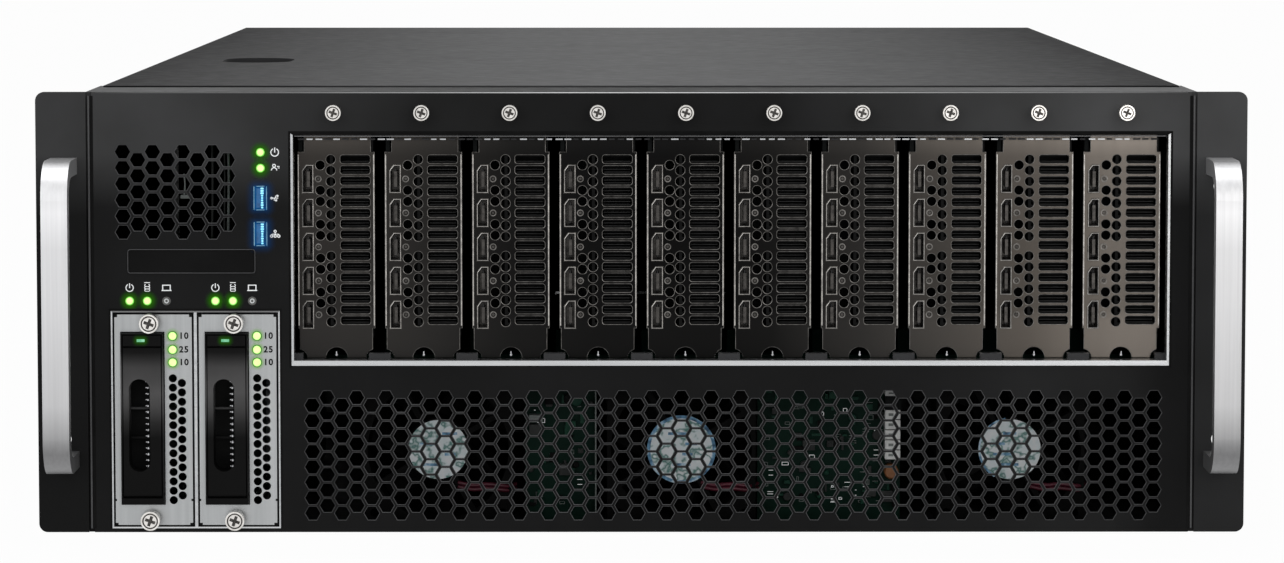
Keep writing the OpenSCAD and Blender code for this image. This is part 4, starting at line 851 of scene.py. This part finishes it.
# rounded rim of the label plate
LP_LO, LP_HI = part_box("label_plate")
k = Piece("label_border", "label_black")
RIM_Y = (LP_LO.y - 0.05 * MM, LP_LO.y + 0.1 * MM)
X0, X1, Z0, Z1 = LP_LO.x + 1 * MM, LP_HI.x - 1 * MM, LP_LO.z + 1 * MM, LP_HI.z - 1 * MM
for x0, x1, z0, z1 in ((X0, X1, LP_LO.z, LP_LO.z), (X0, X1, LP_HI.z, LP_HI.z), (LP_LO.x, LP_LO.x, Z0, Z1),
                       (LP_HI.x, LP_HI.x, Z0, Z1)):
    k.box((x0 - 0.14 * MM, RIM_Y[0], z0 - 0.14 * MM), (x1 + 0.14 * MM, RIM_Y[1], z1 + 0.14 * MM),
          "label_rim", 0.04)
for x, z, a in ((X0, Z0, 180), (X1, Z0, 270), (X1, Z1, 0), (X0, Z1, 90)):
    k.band((x, z), 0.86 * MM, 1.14 * MM, "label_rim", *RIM_Y, a, a + 90, 6)
k.done()

# ---------------------------------------------------------------- window: gasket, socket screws, fins, studs
# a strip under the window's upper edge, darkened as painted shade, with a row of small clips
k = Piece("window_gasket", "trim_steel")
k.box((WIN_X0 + 1.2 * MM, F + 4.6 * MM, WIN_TOP - 1.5 * MM),
      (WIN_X1 - 1.2 * MM, F + 6.4 * MM, WIN_TOP - 1.1 * MM), "trim_shade", 0.1)
x = WIN_X0 + 2.5 * MM
while x < WIN_X1 - 5 * MM:
    w = 2.1 + 0.9 * random.random()
    # about two clips in five are painted dark, painted shade that breaks up the row of their highlights
    dim = random.random() < 0.42
    k.block((x, F, WIN_TOP), (0, w), (5.2, 6.2), (-2.9, -2.2), "chassis_steel" if dim else "trim_steel", 0.15)
    x += 3.55 * MM
k.done()

SLOTS_Z = WIN_BASE + 15 * MM
STUD_Z = WIN_BASE + 3.4 * MM
for i, c in enumerate(CARD_X):
    # screws beside the display sockets
    k = Piece("socket_screws_%d" % (i + 1), "bracket_nickel")
    x = c - 7.1 * MM
    for j in range(SOCKETS):
        z = S_TOP - j * S_PITCH
        k.band((x, z), 0.95 * MM, 1.4 * MM, "bracket_edge", BRACKET_Y - 0.5 * MM, BRACKET_Y + 0.05 * MM,
               seg=12)
        k.rod((x, BRACKET_Y - 0.25 * MM, z), 0.7 * MM, 0.3 * MM, "socket_steel", seg=12, chamfer=0.15)
        # contact blade inside each socket
        k.block((c, BRACKET_Y, z), (-11.5, -10.9), (1.4, 3), (-4.1, 4.1), "chassis_steel", 0.1)
    for s in (-1, 1):
        # a painted highlight along the bracket's folded sides
        x = c + s * (CARD_W / 2 - 0.35 * MM)
        k.box((x - 0.22 * MM, BRACKET_Y - 0.16 * MM, SLOTS_Z),
              (x + 0.22 * MM, BRACKET_Y + 0.1 * MM, WIN_TOP - 9 * MM), "socket_rim_highlight", 0.08)
    k.done()
    # fin stack behind the bracket's slots
    k = Piece("fin_stack_%d" % (i + 1), "cooler_black")
    zz = SLOTS_Z
    while zz < WIN_TOP - 11 * MM:
        k.block((c, BRACKET_Y, zz), (2.2, 13), (3.2, 5), (0, 0.2), "fin_dark", 0.03)
        zz += 1.08 * MM
    k.done()
    # middle foot stud
    k = Piece("foot_stud_%d" % (i + 1), "screw_steel")
    k.rod((c, BRACKET_Y - 2.0 * MM, STUD_Z), 0.55 * MM, 2.2 * MM, "screw_steel", seg=10, chamfer=0.2)
    k.block((c, BRACKET_Y, STUD_Z), (-0.2, 0.2), (-2.2, -1.8), (0, 1.5), "trim_steel", 0.05)
    k.done()

# ---------------------------------------------------------------- behind the lower grille
FAN_C = []
for i in (1, 2, 3):
    lo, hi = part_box("intake_fan_rotor_%d" % i)
    FAN_C.append(((lo.x + hi.x) / 2, (lo.z + hi.z) / 2))
frame_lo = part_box("intake_fan_frames")[0]
# a fan lead's path from the fan's middle: across, back and down
LEAD = ((8, 0.6, 13.5), (14, -0.8, 14.5), (20, -1.2, 14), (28, 0.5, 15), (31, 9, 15))
# each sticker's radius, and the width and angles of its blue rim
STICKERS = ((12.0, 0, 0, 0), (12.6, 1.3, 0, 360), (12.2, 0.8, 100, 240))
y = frame_lo.y - 0.05 * MM
for i, (cx, cz) in enumerate(FAN_C):
    r, rim, a0, a1 = STICKERS[i]
    r *= MM
    k = Piece("fan_label_%d" % (i + 1), "fan_black")
    k.rod((cx, y - 0.25 * MM, cz), r, 0.25 * MM, "fan_paper", seg=40, chamfer=0.1)
    if rim:
        k.band((cx, cz), r, r + rim * MM, "sticker_blue", y - 0.3 * MM, y - 0.05 * MM, a0, a1, 40)
    for j in range(4):
        xx = cx + (random.random() - 0.75) * 12 * MM
        zz = cz + (j - 1.6) * 4.2 * MM
        k.block((xx, y, zz), (0, 4 + 4 * random.random()), (-0.3, -0.24), (0, 1.1), "sticker_blue", 0.03)
    k.done()
    for j, dz in enumerate((0, 1.7)):
        k = Piece("fan_lead_%d_%d" % (i + 1, j + 1), "fan_black")
        k.tube([(cx + a * MM, y + b * MM, cz - (c + dz) * MM) for a, b, c in LEAD], 0.85 * MM, "red_wire")
        k.done()

# the two boards between the fans: face, reach across, and how many parts and printed marks each has
PB_Y = frame_lo.y + 12 * MM
BOARDS = ((FAN_C[0][0] + 36 * MM, FAN_C[1][0] - 36 * MM, 30, 8),
          (FAN_C[1][0] + 33 * MM, FAN_C[2][0] - 46 * MM, 70, 46))
KINDS = ("grey_part", "dark", "part_green", "grey_part", "part_green", "dark", "part_green", "grey_part")
LINE = 0.22 * MM
for b, (xa, xb, parts, marks) in enumerate(BOARDS):
    k = Piece("board_parts_%d" % (b + 1), "board_green")
    for j in range(parts):
        w, h, d = ((0.8 + 4.5 * random.random() ** 2) * MM, (0.8 + 4.0 * random.random() ** 2) * MM,
                   (0.5 + 2.5 * random.random()) * MM)
        xx = xa + (xb - xa - w) * random.random()
        zz = 6 * MM + (48 * MM - h) * random.random()
        kind = KINDS[j % len(KINDS)]
        if j % 5 == 0:
            k.rod((xx + w / 2, PB_Y - d, zz + h / 2), max(w, 2 * MM) / 2, d + 0.1 * MM, kind, seg=16,
                  chamfer=0.3)
        else:
            k.box((xx, PB_Y - d, zz), (xx + w, PB_Y + 0.1 * MM, zz + h), kind, 0.15)
    # printed outlines and marks, denser towards the lower right
    for j in range(marks):
        u = random.random()
        xx = xa + (xb - xa - 5 * MM) * (u if j % 2 else u ** 0.6)
        zz = 7 * MM + 44 * MM * random.random() ** 1.4
        w, h = (0.6 + 2.2 * random.random()) * MM, (0.6 + 1.6 * random.random()) * MM
        ink = "print_dim" if j % 3 else "ink"
        y0, y1 = PB_Y - 0.08 * MM, PB_Y + 0.05 * MM
        bars = [(0, 0, w, LINE), (0, h, w, LINE)] + ([(0, 0, LINE, h), (w, 0, LINE, h)] if j % 2 else [])
        for dx, dz, across, tall in bars:
            k.box((xx + dx, y0, zz + dz), (xx + dx + across, y1, zz + dz + tall), ink, 0.02)
    k.done()
# white plug housings and a brown coil on the right board
k = Piece("power_plug", "board_green")
for z, h in [(26.8 + 4.1 * j, 3.7) for j in range(5)] + [(52.6, 2.2)]:
    at = (PLUG_X, PB_Y, z * MM)
    k.block(at, (-6.6, -0.4), (-10.2, -0.1), (0, h), "white_plug", 0.3)
    k.block(at, (-5.2, -3.2), (-10.3, -10.1), (h * 0.35, h * 0.65), "print_dim", 0.05)
k.rod((PLUG_X - 3.9 * MM, PB_Y - 10.3 * MM, 21.6 * MM), 2.9 * MM, 10 * MM, "brown", seg=20, chamfer=0.6)
k.done()
k = Piece("board_relay", "board_green")
k.block((0, PB_Y, 0), (-45.5, -40), (-6, 0), (41.5, 44.5), "print_dim", 0.3)
k.block((0, PB_Y, 0), (-45.5, -41), (-5, 0), (36.5, 40.5), "grey_part", 0.3)
k.done()
# upright bar beside the left board
k = Piece("board_edge_bar", "deck_steel")
k.block((0, F, 0), (-18.8, -18.2), (24, 34), (3, 60), "print_dim", 0.15)
k.done()

# ---------------------------------------------------------------- modules: painted shade in the corner reliefs, spring fingers
for side in SIDES:
    lo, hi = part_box(side + "_module_faceplate")
    # dark patches at the faceplate's corners and sides stand for the shade in its reliefs: painted shade
    k = Piece(side + "_corner_relief_shade", "faceplate_silver", side + "_module")
    foot = lo.z + 10.2 * MM
    for x, z, w, h in ((lo.x, lo.z, 1.5, 1.2), (hi.x, lo.z, 1.7, 1.2), (lo.x, hi.z, 1.7, 1.5),
                       (hi.x, hi.z, 1.5, 1.4), (lo.x, foot, 0.7, 0.8), (hi.x, foot, 0.9, 0.8)):
        s = 1 if x == lo.x else -1
        q = 1 if z <= lo.z else -1
        xa, xb = sorted((x - s * 0.3 * MM, x + s * w * MM * 0.7))
        za, zb = sorted((z - q * 0.3 * MM, z + q * h * MM * 0.7))
        k.box((xa, lo.y - 0.06 * MM, za), (xb, lo.y + 0.05 * MM, zb), "dark", 0.03)
    k.done()
FINGERS = 15
for side in SIDES:
    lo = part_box(side + "_drive_carrier")[0]
    gx = lo.x + 11.0 * MM
    k = Piece(side + "_grip_fingers", "drive_steel", side + "_carrier")
    for j in range(FINGERS):
        z = lo.z + 15 * MM + 34 * MM * j / (FINGERS - 1)
        k.rod((gx - 0.55 * MM, lo.y + 3.5 * MM, z), (0.42 + 0.22 * random.random()) * MM, 1.4 * MM,
              "drive_steel", seg=12, chamfer=0.3)
        k.block((gx, lo.y, z), (-1.6, -0.2), (4.6, 5.6), (-0.16, 0.16), "drive_steel", 0.05)
    k.done()


# ---------------------------------------------------------------- cover screws
SCREW_R = 1.9
for side, s, x in (("left", -1, COV_LO.x - 0.02 * MM), ("right", 1, COV_HI.x + 0.02 * MM)):
    k = Piece("cover_screws_" + side, "cover_black", "cover")
    h = 0.12 * MM
    for back in (0.06, 0.3, 0.54, 0.7):
        y, z = COV_LO.y + back, COV_HI.z - 6 * MM
        r0, r1 = (SCREW_R * MM, 0.8 * SCREW_R * MM)[::s]
        k.rod((min(x, x + s * h), y, z), r0, h, "screw_steel", "x", r1, 20, 0.12)
        # cross recess, painted dark: painted shade
        for w, tall in ((0.55, 0.14), (0.14, 0.55)):
            k.block((x + s * 0.14 * MM, y, z), (-0.03, 0.03), (-w * SCREW_R, w * SCREW_R),
                    (-tall * SCREW_R, tall * SCREW_R), "dark", 0.03)
    k.done()

# ---------------------------------------------------------------- rear: fan caps, port tongues, supply pins
for i in range(1, 5):
    lo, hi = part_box("rear_fan_rotor_%d" % i)
    cx, cz = (lo.x + hi.x) / 2, (lo.z + hi.z) / 2
    k = Piece("rear_fan_cap_%d" % i, "fan_black", "rear_rotor_%d" % i)
    k.rod((cx, hi.y - 0.1 * MM, cz), 15 * MM, 0.35 * MM, "sticker_white", seg=36, chamfer=0.2)
    for a in (20, 200):
        k.band((cx, cz), 11 * MM, 12.2 * MM, "dark_ink", hi.y + 0.2 * MM, hi.y + 0.3 * MM, a, a + 140)
    k.done()
PORT_LO, PORT_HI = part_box("rear_ports")
for j in range(4):
    px = PORT_LO.x + j * 26 * MM
    h = (14 if j % 2 == 0 else 18) * MM
    k = Piece("port_contacts_%d" % (j + 1), "port_steel")
    for q in range(3):
        z = PORT_LO.z + h * (0.28 + 0.22 * q)
        k.block((px, PORT_HI.y, z), (3, 13), (-12, -2.5), (-0.5, 0.5), "label_black", 0.15)
        k.block((px, PORT_HI.y, z), (3.6, 12.4), (-11, -3), (0.5, 0.7), "copper", 0.05)
    k.done()
for i in range(1, 5):
    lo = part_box("psu_%d" % i)[0]
    k = Piece("supply_pins_%d" % i, "psu_steel", "supply_%d" % i)
    ix, iz = lo.x + 14.5 * MM, lo.z + 20 * MM
    for dx, dz in ((-4.5, -2), (4.5, -2), (0, 3.2)):
        k.block((ix, REAR, iz), (dx - 0.9, dx + 0.9), (-14, -3), (dz - 2.2, dz + 2.2), "trim_steel", 0.3)
    k.done()

# ---------------------------------------------------------------- seams, gaps and edges in painted shade and highlight, and the air baffle
# cables behind the upper grille
CABLE_Y = F + 14 * MM
k = Piece("vent_cabling", "chassis_steel")
for x, r, z0, z1, mat in ((-166, 0.55, 116, 168, "print_dim"), (-167.6, 0.4, 116, 168, "grey_part"),
                          (-172.5, 0.5, 116, 168, "grey_part"), (-183.6, 0.3, 134, 143, "print_dim")):
    k.tube([(x * MM, CABLE_Y, z0 * MM), ((x + 0.4) * MM, CABLE_Y + 0.5 * MM, (z0 + z1) / 2 * MM),
            (x * MM, CABLE_Y, z1 * MM)], r * MM, mat)
k.block((0, F, 0), (-185, -180.5), (13.6, 17), (133, 134.4), "print_dim", 0.2)
k.done()
# painted highlight: a bright line along the top edge of the front sheet
k = Piece("panel_top_edge", "panel_black")
k.tube([(x, F + 0.2 * MM, PANEL_TOP - 0.3 * MM) for x in (-0.2175, 0, 0.2175)], 0.27 * MM, "panel_edge_highlight")
k.done()
# painted shade in the seam between each ear and the front sheet, beside a lighter strip, a painted highlight
# on the ear's bend
for s, side in ((-1, "left"), (1, "right")):
    k = Piece(side + "_ear_seam", "panel_black")
    for x0, x1, y, mat, chamfer in ((218.4, 219.6, F - 0.1 * MM, "dark", 0.05),
                                    (219.8, 220.5, STRIP_Y, "label_rim", 0.1)):
        xa, xb = sorted((s * x0 * MM, s * x1 * MM))
        k.box((xa, y, 1.5 * MM), (xb, F + 0.3 * MM, PANEL_TOP - 1.5 * MM), mat, chamfer)
    k.done()
# painted shade: dark strips round the module bay and the card window stand for the shade in the gaps
for name, x0, x1, z0, z1, out, gap in (("bay_gap", BAY_X0, BAY_X1, 1.6 * MM, BAY_TOP, 0.8 * MM, 0.02 * MM),
                                       ("window_gap", WIN_X0, WIN_X1, WIN_BASE - 0.9 * MM, WIN_TOP, 0.9 * MM,
                                        0.05 * MM)):
    k = Piece(name, "panel_black")
    top = z1 + 0.02 * MM
    for xa, xb, za, zb in ((x0 - out, x1 + out, top, z1 + 0.9 * MM), (x0 - out, x0 - gap, z0, top),
                           (x1 + gap, x1 + out, z0, top)):
        k.box((xa, STRIP_Y, za), (xb, F + 0.1 * MM, zb), "dark", 0.04)
    k.done()
# a sheet behind the cards, with nine upright ribs
BAFFLE_Y, RIBS, RIB_PITCH = F + 0.343, 9, 47.5 * MM
k = Piece("air_baffle", "chassis_steel")
k.box((-0.2155, BAFFLE_Y - 0.5 * MM, DECK + 1 * MM),
      (0.2155, BAFFLE_Y + 0.5 * MM, PANEL_TOP - 3 * MM), "dark", 0.2)
for j in range(RIBS):
    x = -0.19 + j * RIB_PITCH
    k.box((x - 2 * MM, BAFFLE_Y - 1.5 * MM, DECK + 4 * MM),
          (x + 2 * MM, BAFFLE_Y + 1.5 * MM, PANEL_TOP - 6 * MM), "dark", 0.5)
k.done()

# ---------------------------------------------------------------- camera, floor, light
LENS, SENSOR = 137.8, 36
CAM_PLACE = (-0.0062, F - 1.955, 0.263)
CAM_DOWN, CAM_TURN = 4.745, -0.1865
cam = bpy.data.cameras.new("camera")
cam.lens = LENS
cam.sensor_width = SENSOR
cam.clip_end = 30
cam_o = place("camera", cam)
cam_o.location = CAM_PLACE
cam_o.rotation_euler = (radians(90 - CAM_DOWN), 0, radians(CAM_TURN))
bpy.context.scene.camera = cam_o
bpy.context.scene.view_settings.view_transform = "Standard"


def shown(t):
    """1 for the rays that show the background: from the camera, off gloss or through glass."""
    path = add(t, "LightPath").outputs
    fac = path["Is Camera Ray"]
    for kind in ("Is Glossy Ray", "Is Transmission Ray"):
        fac = add(t, "Math", {0: fac, 1: path[kind]}, operation="MAXIMUM").outputs[0]
    return fac


# white where the world is seen, softer where it lights
world = bpy.data.worlds.new("studio")
bpy.context.scene.world = world
t = empty(world)
soft = add(t, "Background", (), {"Color": (0.96, 0.98, 1.0, 1), "Strength": 0.55})
plain = add(t, "Background", (), {"Color": (1, 1, 1, 1), "Strength": 1.0})
blend(t, shown(t), soft, plain, "OutputWorld")

# a white floor that keeps a faint shadow
floor_m = bpy.data.materials.new("floor")
t = empty(floor_m)
dif = add(t, "BsdfDiffuse", (), {"Color": (0.42, 0.42, 0.42, 1)})
em = add(t, "Emission", (), {"Color": (1, 1, 1, 1), "Strength": 1.0})
fade = add(t, "MixShader", {1: dif.outputs[0], 2: em.outputs[0]}, {"Fac": 0.975})
blend(t, shown(t), dif, fade)
bm = bmesh.new()
bmesh.ops.create_grid(bm, x_segments=8, y_segments=8, size=12)
me = bpy.data.meshes.new("floor")
bm.to_mesh(me)
bm.free()
me.materials.append(floor_m)
floor = place("floor", me)
floor.location.z = -0.0006


def softbox(name, loc, aim, size, energy, colour=(1, 1, 1)):
    li = bpy.data.lights.new(name, "AREA")
    li.shape = "RECTANGLE"
    li.size, li.size_y = size
    li.energy = energy
    li.color = colour
    o = place(name, li)
    o.location = loc
    o.rotation_euler = (Vector(aim) - Vector(loc)).to_track_quat("-Z", "Y").to_euler()


# name, place, aim, size, power and tint of each lamp
softbox("overhead", (0, -0.5, 2.2), (0, -0.2, 0.1), (2.6, 1.6), 24)
softbox("front_left", (-1.15, F - 1.9, 0.9), (-0.15, F, 0.1), (0.7, 1.4), 4.4, (0.97, 0.99, 1))
softbox("front_right", (1.05, F - 1.9, 0.8), (0.15, F, 0.1), (0.8, 1.4), 5, (1, 0.985, 0.965))
softbox("low_right", (0.47, F - 1.7, 0.22), (0.2, F, 0.1), (0.3, 0.5), 1.2, (1, 0.97, 0.94))
softbox("low_left", (-0.5, F - 1.7, 0.22), (-0.2, F, 0.1), (0.25, 0.5), 0.6)
